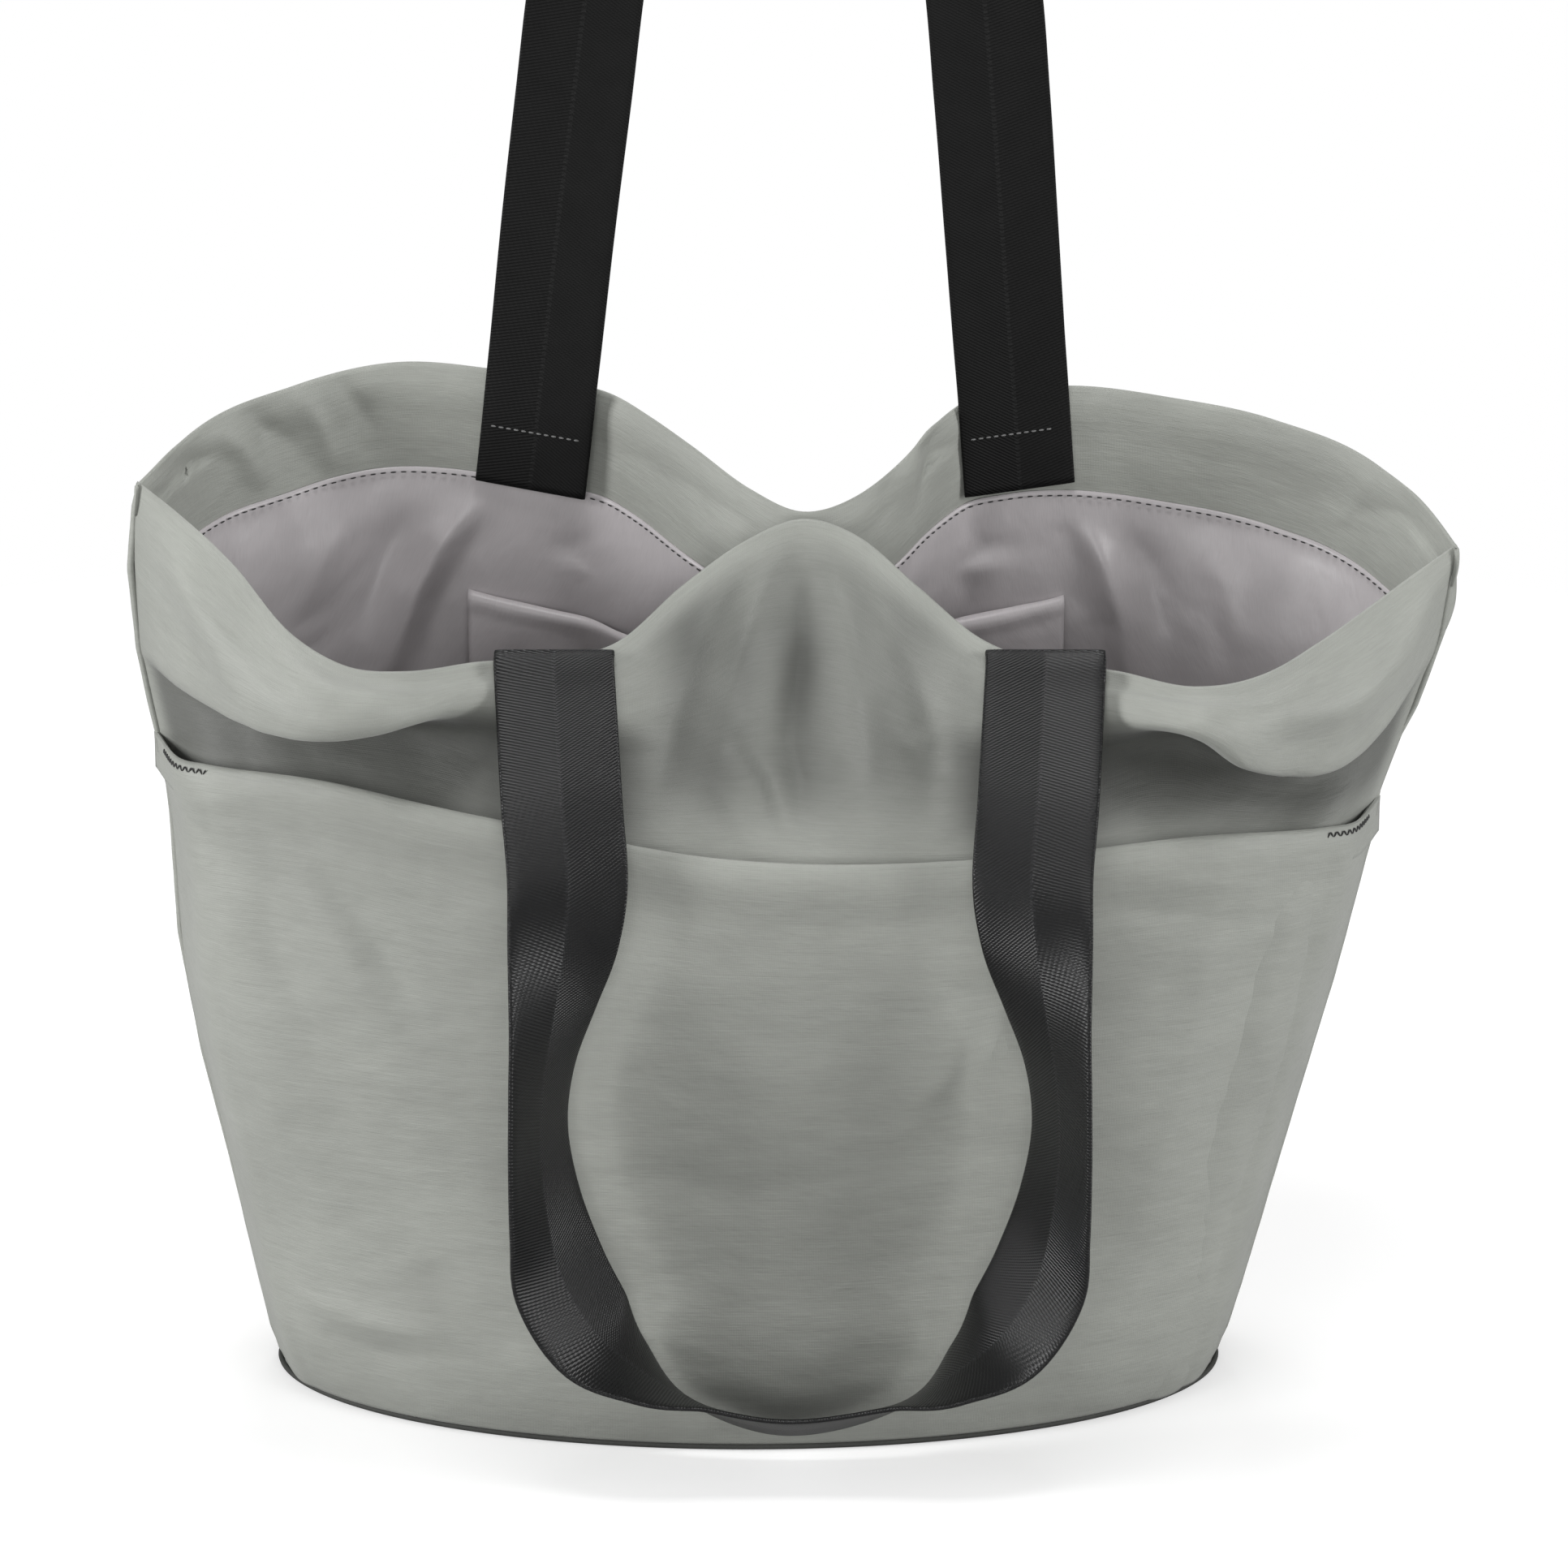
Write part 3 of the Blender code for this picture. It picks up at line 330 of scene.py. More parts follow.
class Finish:
    """A procedural material, built from the cloth map."""

    def __init__(self, name):
        self.material = bpy.data.materials.new(name)
        self.material.use_nodes = True
        self.tree = self.material.node_tree
        self.shader = self.tree.nodes["Principled BSDF"]

    def node(self, kind, **values):
        made = self.tree.nodes.new(kind)
        for key, value in values.items():
            setattr(made, key, value)
        return made

    def link(self, a, b):
        self.tree.links.new(a, b)

    def cloth_map(self, scale=(1, 1, 1), turn=0.0):
        """The cloth's own coordinates in metres, stretched and turned."""
        pin = self.node("ShaderNodeUVMap", uv_map="cloth")
        place = self.node("ShaderNodeMapping")
        place.inputs["Scale"].default_value = scale
        place.inputs["Rotation"].default_value = (0, 0, radians(turn))
        self.link(pin.outputs["UV"], place.inputs["Vector"])
        return place.outputs["Vector"]

    def object_map(self, scale):
        pin = self.node("ShaderNodeTexCoord")
        place = self.node("ShaderNodeMapping")
        place.inputs["Scale"].default_value = scale
        self.link(pin.outputs["Object"], place.inputs["Vector"])
        return place.outputs["Vector"]

    def noise(self, vector, scale, detail=3.0, rough=0.55):
        made = self.node("ShaderNodeTexNoise")
        made.inputs["Scale"].default_value = scale
        made.inputs["Detail"].default_value = detail
        made.inputs["Roughness"].default_value = rough
        self.link(vector, made.inputs["Vector"])
        return made.outputs["Fac"]

    def wave(self, vector, scale, direction="X", distortion=0.0):
        made = self.node("ShaderNodeTexWave", bands_direction=direction)
        made.inputs["Scale"].default_value = scale
        made.inputs["Distortion"].default_value = distortion
        made.inputs["Detail"].default_value = 1.0
        made.inputs["Detail Scale"].default_value = 2.0
        self.link(vector, made.inputs["Vector"])
        return made.outputs["Fac"]

    def math(self, operation, a, b):
        made = self.node("ShaderNodeMath", operation=operation)
        for socket, value in zip(made.inputs, (a, b)):
            if isinstance(value, (int, float)):
                socket.default_value = value
            else:
                self.link(value, socket)
        return made.outputs["Value"]

    def ramp(self, factor, stops):
        made = self.node("ShaderNodeValToRGB")
        bar = made.color_ramp
        while len(bar.elements) < len(stops):
            bar.elements.new(0.5)
        for element, (place, colour) in zip(bar.elements, stops):
            element.position = place
            element.color = (*colour, 1)
        self.link(factor, made.inputs["Fac"])
        return made.outputs["Color"]

    def tones(self, factor, level, tint, low, high, end=0.7):
        """A colour that runs from a low to a high share of its level."""
        return self.ramp(factor, [(0.3, tone(level * low, tint)), (end, tone(level * high, tint))])

    def mix(self, factor, a, b, blend="MIX"):
        made = self.node("ShaderNodeMix", data_type="RGBA", blend_type=blend)
        for socket, value in ((made.inputs[0], factor), (made.inputs[6], a), (made.inputs[7], b)):
            if isinstance(value, float):
                socket.default_value = value
            elif isinstance(value, tuple):
                socket.default_value = (*value, 1)
            else:
                self.link(value, socket)
        return made.outputs[2]

    def darkened(self, colour, factor, start, least, end):
        """A colour times a grey that runs from its least to 1 as the factor goes from start to end."""
        return self.mix(1.0, colour, self.ramp(factor, [(start, grey(least)), (end, grey(1.0))]), "MULTIPLY")

    def bump(self, height, distance, strength=1.0, under=None):
        made = self.node("ShaderNodeBump")
        made.inputs["Strength"].default_value = strength
        made.inputs["Distance"].default_value = distance
        self.link(height, made.inputs["Height"])
        if under:
            self.link(under, made.inputs["Normal"])
        return made.outputs["Normal"]

    def set(self, **values):
        for key, value in values.items():
            self.shader.inputs[key.replace("_", " ")].default_value = value

    def finish(self, colour, normal=None, roughness=None):
        self.link(colour, self.shader.inputs["Base Color"])
        if normal:
            self.link(normal, self.shader.inputs["Normal"])
        if roughness:
            self.link(roughness, self.shader.inputs["Roughness"])
        return self.material


NEUTRAL = (1.0, 1.0, 1.0)


def grey(value):
    return (value, value, value)


def tone(level, tint=NEUTRAL):
    """A colour given as a display level from 0 to 255 and a tint."""
    values = []
    for t in tint:
        c = level * t / 255
        values.append(c / 12.92 if c <= 0.04045 else ((c + 0.055) / 1.055) ** 2.4)
    return tuple(values)


def nylon(name, level, tint, sheen):
    """Plain-woven nylon with a slub that runs across the bag."""
    f = Finish(name)
    slub = f.noise(f.cloth_map((90, 1500, 1)), 1.0, 4.0, 0.6)
    streak = f.noise(f.cloth_map((25, 420, 1)), 1.0, 3.0)
    warp = f.wave(f.cloth_map(), 560.0, "X")
    weft = f.wave(f.cloth_map(), 560.0, "Y")
    weave = f.math("MULTIPLY", warp, weft)
    cloud = f.noise(f.cloth_map(), 22.0, 4.0, 0.5)
    base = f.tones(cloud, level, tint, 0.965, 1.03)
    colour = f.darkened(base, slub, 0.3, 0.90, 0.68)
    bands = f.ramp(streak, [(0.34, (0.955, 0.955, 0.95)), (0.66, grey(1.0))])
    colour = f.mix(1.0, colour, bands, "MULTIPLY")
    height = f.math("ADD", slub, f.math("MULTIPLY", weave, 0.35))
    height = f.math("ADD", height, f.math("MULTIPLY", streak, 0.8))
    normal = f.bump(height, 0.00022, 0.55)
    crinkle = f.noise(f.cloth_map((60, 110, 1)), 1.0, 4.0, 0.55)
    normal = f.bump(crinkle, 0.0011, 0.5, normal)
    # painted shade: the colour is mixed towards a dark tone by a per-point attribute, in the hollows under
    # the lobes and between the straps
    painted_shade = f.node("ShaderNodeAttribute", attribute_name="crease_shade")
    colour = f.mix(painted_shade.outputs["Fac"], colour, tone(28, tint))
    gloss = f.ramp(streak, [(0.3, grey(0.50)), (0.7, grey(0.60))])
    f.set(Specular_IOR_Level=0.42, Sheen_Weight=sheen, Sheen_Roughness=0.45)
    return f.finish(colour, normal, gloss)


def satin(name, level, tint):
    """Thin lining with a satin shine."""
    f = Finish(name)
    thread = f.noise(f.cloth_map((2200, 160, 1)), 1.0, 3.0)
    cloud = f.noise(f.cloth_map(), 30.0, 3.0)
    base = f.tones(cloud, level, tint, 0.97, 1.03)
    colour = f.darkened(base, thread, 0.3, 0.93, 0.7)
    crinkle = f.noise(f.cloth_map((55, 40, 1)), 1.0, 3.0, 0.5)
    normal = f.bump(crinkle, 0.0016, 0.5, f.bump(thread, 0.0001, 0.5))
    gloss = f.ramp(cloud, [(0.3, grey(0.34)), (0.7, grey(0.42))])
    f.set(Specular_IOR_Level=0.55, Sheen_Weight=0.25, Sheen_Roughness=0.3)
    return f.finish(colour, normal, gloss)


def webbing(name, level, tint, roughness, specular, sheen):
    """Twill webbing: slanted ribs that lean the other way past its middle, and a woven middle line."""
    f = Finish(name)
    ribs = f.wave(f.cloth_map(turn=58), 330.0, "X", 0.4)
    other = f.wave(f.cloth_map(turn=-74), 300.0, "X", 0.4)
    pin = f.node("ShaderNodeUVMap", uv_map="cloth")
    split = f.node("ShaderNodeSeparateXYZ")
    f.link(pin.outputs["UV"], split.inputs["Vector"])
    half = f.math("GREATER_THAN", split.outputs["X"], 0.0)
    twill = f.mix(half, ribs, other)
    picks = f.wave(f.cloth_map(), 640.0, "Y", 0.6)
    from_middle = f.math("ABSOLUTE", split.outputs["X"], 0.0)
    middle = f.math("LESS_THAN", from_middle, 0.0007)
    edge = f.math("GREATER_THAN", from_middle, 0.0172)
    dash = f.wave(f.cloth_map(), 150.0, "Y")
    wear = f.noise(f.cloth_map(), 90.0, 4.0)
    base = f.tones(wear, level, tint, 0.90, 1.10, 0.72)
    colour = f.darkened(base, twill, 0.1, 0.70, 0.9)
    dotted = f.math("MULTIPLY", f.math("MULTIPLY", middle, dash), 0.5)
    colour = f.mix(dotted, colour, tone(min(level * 1.9, 150), tint))
    colour = f.mix(f.math("MULTIPLY", edge, 0.45), colour, tone(level * 0.62, tint))
    height = f.math("ADD", twill, f.math("MULTIPLY", picks, 0.35))
    height = f.math("SUBTRACT", height, f.math("MULTIPLY", middle, 1.2))
    normal = f.bump(height, 0.00022, 0.6)
    gloss = f.ramp(twill, [(0.0, grey(roughness + 0.08)), (1.0, grey(roughness))])
    f.set(Specular_IOR_Level=specular, Sheen_Weight=sheen, Sheen_Roughness=0.35)
    return f.finish(colour, normal, gloss)


def thread_finish(name, level):
    f = Finish(name)
    twist = f.wave(f.cloth_map(turn=40), 900.0, "X")
    colour = f.ramp(twist, [(0.0, tone(level * 0.8)), (1.0, tone(level * 1.08))])
    f.set(Roughness=0.6, Specular_IOR_Level=0.4)
    return f.finish(colour, f.bump(twist, 0.0001, 0.6))


def metal(name, level, tint, roughness):
    f = Finish(name)
    scratch = f.noise(f.object_map((900, 120, 900)), 1.0, 4.0)
    colour = f.tones(scratch, level, tint, 0.92, 1.04)
    gloss = f.ramp(scratch, [(0.3, grey(roughness)), (0.7, grey(roughness + 0.12))])
    f.set(Metallic=1.0)
    return f.finish(colour, f.bump(scratch, 0.00003, 0.4), gloss)


def plain_weave(name, level, tint):
    """Woven tape and board cloth on the CAD pieces, which carry no cloth map."""
    f = Finish(name)
    weave = f.noise(f.object_map((900, 900, 900)), 1.0, 2.0)
    cloud = f.noise(f.object_map((25, 25, 25)), 1.0, 4.0)
    base = f.tones(cloud, level, tint, 0.94, 1.05)
    colour = f.darkened(base, weave, 0.3, 0.85, 0.7)
    f.set(Roughness=0.7, Specular_IOR_Level=0.35)
    return f.finish(colour, f.bump(weave, 0.0002, 0.6))


SAGE = (0.986, 1.0, 0.962)
MAUVE = (1.0, 0.975, 0.985)
SHELL = nylon("sage_nylon", 154, SAGE, 0.14)
LINING = satin("mauve_lining", 184, MAUVE)
# painted light: the same mauve lining cloth at a lighter level, to make up for the shade the inner pocket
# lies in
PATCH_LIT_LINING = satin("patch_lining_painted_light", 206, MAUVE)
FRONT_WEBBING = webbing("charcoal_webbing", 21, (0.98, 0.99, 1.03), 0.30, 0.32, 0.0)
BACK_WEBBING = webbing("black_webbing", 20, NEUTRAL, 0.6, 0.16, 0.0)
LIGHT_THREAD = thread_finish("light_thread", 120)
DARK_THREAD = thread_finish("dark_thread", 48)
TAPE = plain_weave("seam_tape", 150, MAUVE)
DARK_TAPE = plain_weave("binding_tape", 62, SAGE)
BASE_CLOTH = plain_weave("base_cloth", 150, SAGE)
SNAP_METAL = metal("nickel", 190, (1.0, 0.99, 0.97), 0.28)
MAGNET = metal("magnet_steel", 120, (1.0, 1.0, 1.02), 0.35)

# ---- the shell ----

FINE_U = np.linspace(-1, 1, 261)
WARPED_U = np.sin(FINE_U * pi / 2) * 0.35 + FINE_U * 0.65
FRONT_U = [(x - MID_X) / HALF_X for x in FRONT_X]


def body_depth(t, u):
    """How far the round body stands from the middle plane at a share of its height."""
    deep = 79 + 10 * np.sin(pi * np.minimum(t, 1) * 0.8)
    return deep * np.sqrt(np.maximum(1 - np.asarray(u) ** 2, 0)) ** (1 - 0.15 * t)


def body_row(u, z, out=0.0, side=-1):
    """A level row round the body's front or back."""
    u = np.asarray(u)
    deep = body_depth(z / BODY_TOP, u) + out
    return np.stack([wall_x(u, z), side * deep, np.full(len(u), float(z))], axis=1)


def moved(row, deep, up):
    """A row shifted by a depth at each station, and upwards."""
    row = row.copy()
    row[:, 1] += deep
    row[:, 2] += up
    return row


def lapped(lining, place, facing, inwards):
    """A lining brought to its facing's lower edge, with its top overlapping it on the bag's inside."""
    step = np.zeros_like(facing[-1])
    step[:, 1] = inwards * SEAM_LAP * seam_hold(WARPED_U)[0]
    shift = facing[-1] + step - lining[0]
    lining = lining + shift * (1 - smooth(place / 0.9))[:, None, None]
    return np.concatenate([facing[:-1] + step, lining])


def table_row(u, ys, zs):
    ys, zs = np.asarray(ys, float), np.asarray(zs, float)
    return np.stack([wall_x(np.asarray(u), zs), ys, zs], axis=1)


INSET_WIDE, INSET_NARROW, INSET_REACH = 3.4, 2.3, 26.0


def inset(station_x):
    """How far in from the rim's outside the facing lies, less at the pinched middle."""
    near = np.exp(-(((np.asarray(station_x, float) - PINCH_X) / INSET_REACH) ** 4))
    return INSET_WIDE + (INSET_NARROW - INSET_WIDE) * near


SHOULDER_Z, SHOULDER_DRAW = 194.0, 0.93
U = np.array(FRONT_U)
RIM = table_row(U, RIM_Y, RIM_Z)
INSET = inset(FRONT_X)
front_rows = [
    body_row(U, 1.2, -1.2),
    body_row(U, 9.0, 1.0),
    body_row(U, 70.0),
    body_row(U, 140.0),
    table_row(U, -body_depth(0.66, U) * SHOULDER_DRAW, SHOULDER_Z + np.where(U < 0, 8 * abs(U), -2 * abs(U))),
    table_row(U, NOOK_Y, NOOK_Z),
    table_row(U, FOLD_Y, FOLD_Z),
    table_row(U, LIP_Y, LIP_Z),
    RIM - [0, 0, 1.6],
]
lower = moved(RIM, (np.array(INNER_Y) - RIM[:, 1]) * 0.4 + INSET, -FACING / 2)
lowest = table_row(U, np.array(INNER_Y) + INSET, RIM[:, 2] - FACING)
front_rows += [moved(RIM, INSET * 0.5, 0.3), moved(RIM, INSET, -3.0), lower, lowest]

grid, place = refine(front_rows, U, WARPED_U, FRONT_FINE)
outer = smooth((RIM_ROW + 0.2 - place) / 0.8)[:, None]
low = smooth(place / 1.0)[:, None]
lobe_band = smooth((place - FOLD_ROW + 0.4) / 0.8)[:, None] * outer
panel_band = (smooth((place - BODY_ROW) / 0.5) * smooth((RIM_ROW - 0.1 - place) / 0.8))[:, None]
lift = strokes(grid, [
    (4.6, 8, [(14, 286), (2, 268), (-6, 246), (-8, 222)]),
    (-4.6, 7, [(4, 284), (-12, 262), (-22, 240), (-26, 215)]),
    (4.8, 8, [(22, 286), (34, 262), (40, 240), (40, 214)]),
    (-4.8, 7, [(18, 280), (18, 258), (14, 235), (20, 210)]),
    (-3.8, 7, [(30, 280), (52, 256), (60, 236), (58, 212)]),
    (2.2, 4, [(-2, 232), (8, 222), (14, 208)]),
    (-2.4, 4, [(-8, 236), (4, 222), (10, 206)]),
    (1.4, 4, [(-14, 226), (-4, 214), (2, 204)]),
    (-1.2, 3.5, [(40, 244), (52, 232), (66, 226)]),
], panel_band)
lift += strokes(grid, [
    (-2.2, 6, [(-192, 280), (-180, 264), (-170, 250)]),
    (2.0, 6, [(-186, 292), (-168, 270), (-158, 252)]),
    (-1.6, 5, [(-176, 290), (-150, 266), (-132, 252)]),
    (1.5, 8, [(-150, 276), (-125, 256), (-100, 252)]),
    (-2.0, 6, [(196, 240), (180, 234), (160, 238)]),
    (2.2, 6, [(206, 250), (188, 244), (168, 246)]),
    (-2.4, 5, [(214, 240), (196, 230), (184, 226)]),
    (-1.6, 6, [(220, 268), (200, 256), (184, 248)]),
], lobe_band)
lift += 0.8 * rough(grid, 30, 3.1) * low * outer
lift += 0.35 * rough(grid, 11, 7.7, (1, 1, 1.6)) * low * outer
grid = grid + normals_of(grid) * (lift * seam_hold(WARPED_U))[..., None]
front_chart = inner_limit(grid[place < RIM_ROW - 0.4])
grid = keep_inside(grid, front_chart, FACING_GAP, place > INNER_ROW + 0.4)

# painted shade: how far the front shell's colour goes towards its dark tone, in the hollows under the lobes
# and on the panel between the straps
between = smooth((grid[..., 0] + 44) / 26) * smooth((80 - grid[..., 0]) / 26)
nook = (smooth((place - BODY_ROW) / 0.6) * smooth((FOLD_ROW - 0.05 - place) / 0.7))[:, None]
slope = (smooth((place - BODY_ROW - 0.2) / 0.8) * smooth((RIM_ROW - place) / 0.9))[:, None]
panel_shade = 0.42 + 0.24 * rough(grid, 20, 83.0, (1.6, 0.6, 0.5))
crease_shade = np.clip(0.64 * nook * (1 - between) + slope * between * panel_shade, 0, 0.68) * seam_hold(WARPED_U)
front_shell = cloth("shell_front_cloth", grid, SHELL, CLOTH_T, crease_shade=crease_shade)
front_facing = grid[-LAP_ROWS:].copy()


def back_rim_tables():
    x, y, z = (np.array(v, float) for v in zip(*BACK_RIM))
    return (x - MID_X) / HALF_X, y, z, x


BU, BY, BZ, BX = back_rim_tables()


def back_row(t, out=0.0):
    """A row of the back wall at a share of its height, which draws in to the rim above the middle."""
    z = 1.2 + t * (BZ - 1.2)
    share = smooth((t - 0.5) / 0.42)
    deep = (body_depth(t, BU) + out) * (1 - share) + BY * share
    return np.stack([wall_x(BU, z), deep, z], axis=1)


BACK_RIM_ROW = back_row(1.0)
BACK_INSET = inset(BX)
back_rows = [back_row(0.0, -1.2), back_row(0.03, 1.0)]
back_rows += [back_row(t) for t in (0.22, 0.42, 0.56, 0.68, 0.80, 0.91)]
back_rows.append(BACK_RIM_ROW - [0, 0, 1.6])


def back_inner(below, extra=0.0):
    """A row inside the back wall, this far below the rim."""
    z = BZ - below
    share = smooth(((z - 1.2) / (BZ - 1.2) - 0.5) / 0.42)
    body = body_depth(np.clip((z - 1.2) / (BZ - 1.2), 0, 1), BU)
    deep = body * (1 - share) + BY * share - BACK_INSET - extra
    return np.stack([wall_x(BU, z), np.maximum(deep, 0) * (np.abs(BU) < 0.999), z], axis=1)


back_rows += [moved(BACK_RIM_ROW, BACK_INSET * -0.5, 0.3), moved(BACK_RIM_ROW, -BACK_INSET, -3.0)]
back_rows += [back_inner(FACING / 2), back_inner(FACING)]
grid, place = refine(back_rows, BU, WARPED_U, BACK_FINE)
outer = smooth((RIM_ROW + 0.2 - place) / 0.8)[:, None]
low = smooth(place / 1.0)[:, None]
inner_band = smooth((place - INNER_ROW + 0.7) / 0.8)[:, None]
lift = strokes(grid, [
    (3.5, 10, [(14, 286), (0, 262), (-10, 230), (-16, 190)]),
    (-3.0, 9, [(8, 288), (-20, 262), (-40, 232), (-52, 196)]),
    (3.0, 10, [(24, 286), (44, 258), (58, 226), (66, 190)]),
    (-3.0, 8, [(18, 284), (20, 258), (24, 226), (20, 190)]),
    (-2.0, 8, [(-150, 290), (-158, 240), (-160, 190)]),
    (2.0, 9, [(-110, 300), (-120, 250), (-112, 190)]),
    (-2.2, 9, [(150, 290), (158, 240), (150, 180)]),
    (2.0, 8, [(190, 270), (184, 230), (176, 180)]),
    (1.6, 12, [(-60, 120), (0, 105), (60, 118)]),
    (-1.8, 12, [(-90, 60), (-20, 48), (70, 62)]),
    (2.0, 14, [(-140, 150), (-130, 90), (-120, 30)]),
    (2.0, 14, [(140, 160), (132, 90), (120, 30)]),
], outer * low)
lift += 1.0 * rough(grid, 34, 13.1) * low * outer
lift += 0.35 * rough(grid, 11, 17.7, (1, 1, 1.6)) * low * outer
lift -= strokes(grid, [
    (3.0, 4, [(-186, 306), (-176, 296), (-170, 282)]),
    (-2.6, 4, [(-176, 312), (-166, 300), (-160, 286)]),
    (3.0, 4, [(-166, 316), (-154, 300), (-150, 286)]),
    (-2.4, 4, [(-150, 318), (-142, 304), (-138, 288)]),
    (2.2, 4, [(-136, 322), (-128, 308), (-126, 290)]),
    (2.4, 3.5, [(58, 312), (62, 300), (60, 284)]),
    (-1.6, 3.5, [(50, 308), (54, 296), (54, 284)]),
    (1.2, 3.5, [(44, 302), (46, 292), (46, 280)]),
    (-1.6, 6, [(206, 296), (200, 280), (190, 268)]),
    (1.8, 6, [(216, 290), (210, 276), (204, 262)]),
], inner_band)
calm = np.ones(grid.shape[:2])
for strap in (-69.0, 88.5):
    calm -= np.exp(-(((grid[..., 0] - strap) / 26) ** 6))
lift -= 0.6 * rough(grid, 16, 21.3) * inner_band * calm
grid = grid - normals_of(grid) * (lift * seam_hold(WARPED_U))[..., None]
back_chart = inner_limit(grid[place < RIM_ROW - 0.4])
grid = keep_inside(grid, back_chart, FACING_GAP, place > INNER_ROW + 0.4)
back_shell = cloth("shell_back_cloth", grid, SHELL, CLOTH_T, flip=True)
back_facing = grid[-LAP_ROWS:].copy()

# ---- the linings ----

front_top = table_row(U, np.array(INNER_Y) + INSET - 0.5, RIM[:, 2] - FACING + 3)
rows = [front_top]
for z, out in ((SHOULDER_Z, -9.0), (140, -4.6), (70, -4.0), (5.0, -3.6)):
    row = body_row(U, z, out)
    row[:, 1] = np.minimum(row[:, 1], 0)
    if z == SHOULDER_Z:
        row[:, 1] *= SHOULDER_DRAW
    middle = MID_X * z / BODY_TOP
    row[:, 0] = middle + (row[:, 0] - middle) * LINING_WIDTH
    rows.append(row)
lining_grid, place = refine(rows, U, WARPED_U, FRONT_LINING_FINE)
top_hold = smooth(place / 0.5)[:, None]
lift = 1.6 * rough(lining_grid, 34, 31.0) + 0.5 * rough(lining_grid, 13, 35.0) - 1.6
lining_grid = lining_grid + normals_of(lining_grid) * (lift * top_hold)[..., None] * 0.7
lining_grid = keep_inside(lapped(lining_grid, place, front_facing, 1), front_chart, LINING_GAP)
front_seam_row = lining_grid[1] + [0, THREAD_OUT, 0]
front_lining = cloth("lining_front_cloth", lining_grid, LINING, LINING_T)

rows = [back_inner(FACING - 3, -0.5)]
for t in (0.72, 0.58, 0.42, 0.22, 0.012):
    row = back_row(t)
    row[:, 1] = np.maximum(row[:, 1] - (3.6 if t < 0.5 else 4.4), 0)
    row[:, 0] = MID_X * t + (row[:, 0] - MID_X * t) * LINING_WIDTH
    rows.append(row)
lining_grid, place = refine(rows, BU, WARPED_U, BACK_LINING_FINE)
top_hold = smooth(place / 0.4)[:, None]
lift = strokes(lining_grid, [
    (6.5, 6, [(-84, 292), (-98, 272), (-112, 246), (-124, 214)]),
    (-3.0, 6, [(-82, 288), (-92, 268), (-104, 244), (-112, 214)]),
    (-3.0, 7, [(-108, 286), (-120, 262), (-136, 232)]),
    (2.5, 7, [(-130, 284), (-144, 258), (-156, 230)]),
    (6.5, 6, [(108, 286), (118, 262), (126, 236), (130, 206)]),
    (-3.0, 6, [(124, 284), (134, 258), (142, 230)]),
    (-2.6, 6, [(102, 284), (108, 262), (112, 236)]),
    (2.4, 6, [(150, 276), (160, 252), (166, 226)]),
    (-1.6, 6, [(-66, 268), (-50, 262), (-34, 256)]),
    (1.6, 6, [(-66, 260), (-50, 254), (-34, 248)]),
    (-2.0, 6, [(56, 270), (74, 266), (92, 266)]),
    (2.2, 6, [(52, 262), (70, 257), (90, 258)]),
])
lift += 1.2 * rough(lining_grid, 40, 41.0) + 0.35 * rough(lining_grid, 13, 45.0)
lining_grid = lining_grid - normals_of(lining_grid) * (lift * top_hold)[..., None]
lining_grid = keep_inside(lapped(lining_grid, place, back_facing, -1), back_chart, LINING_GAP)
back_seam_row = lining_grid[1] - [0, THREAD_OUT, 0]
back_lining = cloth("lining_back_cloth", lining_grid, LINING, LINING_T, flip=True)

# ---- the inner patch pocket ----

PATCH_LEFT, PATCH_RIGHT = -94.0, 106.0
PATCH_Z = (90, 112, 142, 172, 202, 224, 237, 244)
PATCH_SAG, PATCH_GAPE, PATCH_OUT = 12, 9, 2.0


def surface_at(surface, x, z):
    """Depth of a wall grid at a place, from its nearest point."""
    flat = surface.reshape(-1, 3)
    k = np.argmin((flat[:, 0] - x) ** 2 + (flat[:, 2] - z) ** 2)
    return flat[k, 1]


rows = []
columns = np.linspace(0, 1, 41)
for z in PATCH_Z:
    row = []
    for s in columns:
        x = PATCH_LEFT + (PATCH_RIGHT - PATCH_LEFT) * s
        sag = sin(pi * s)
        top = z - PATCH_SAG * sag * (z / PATCH_Z[-1]) ** 3
        gape = PATCH_GAPE * sag * max((z - 141) / 103, 0) ** 1.6
        ridge = 0.8 * sin(9.0 * s + 0.6) * sag * max((z - 111) / 133, 0)
        y = surface_at(lining_grid, x, top) - PATCH_OUT - gape - ridge
        row.append((x, y, top + 2 * (s < 0.5) * (1 - s)))
    rows.append(row)
rows = np.array(rows)
turned = rows[-1] + [0, 1.0, 0.7]
inside = rows[-1] + [0, 2.0, -1.0]
deeper = (HEM_TURN - PATCH_Z[-1] + PATCH_Z[-2]) / (PATCH_Z[-2] - PATCH_Z[-3])
tucked = rows[-2] * (1 - deeper) + rows[-3] * deeper + [0, 1.6, 0]
patch_grid, place = refine([*rows, turned, inside, tucked], columns, np.linspace(0, 1, 121), PATCH_FINE)
patch_grid = patch_grid - normals_of(patch_grid) * (0.7 * rough(patch_grid, 18, 51.0))[..., None]
# the inner pocket wears the lining cloth made lighter, as painted light
inner_pocket = cloth("inner_pocket_cloth", patch_grid, PATCH_LIT_LINING, LINING_T, flip=True)

# ---- the front pocket ----


def hem_height(u):
    """Height of the front pocket's hem along the bag."""
    places = [-1.0, -0.9, -0.74, -0.5, -0.3, -0.1, 0.05, 0.3, 0.45, 0.7, 0.9, 1.0]
    heights = [219, 221, 223, 217, 211, 205, 203, 203, 204, 205, 200, 197]
    return spline(np.array(heights, float), places, np.asarray(u, float))


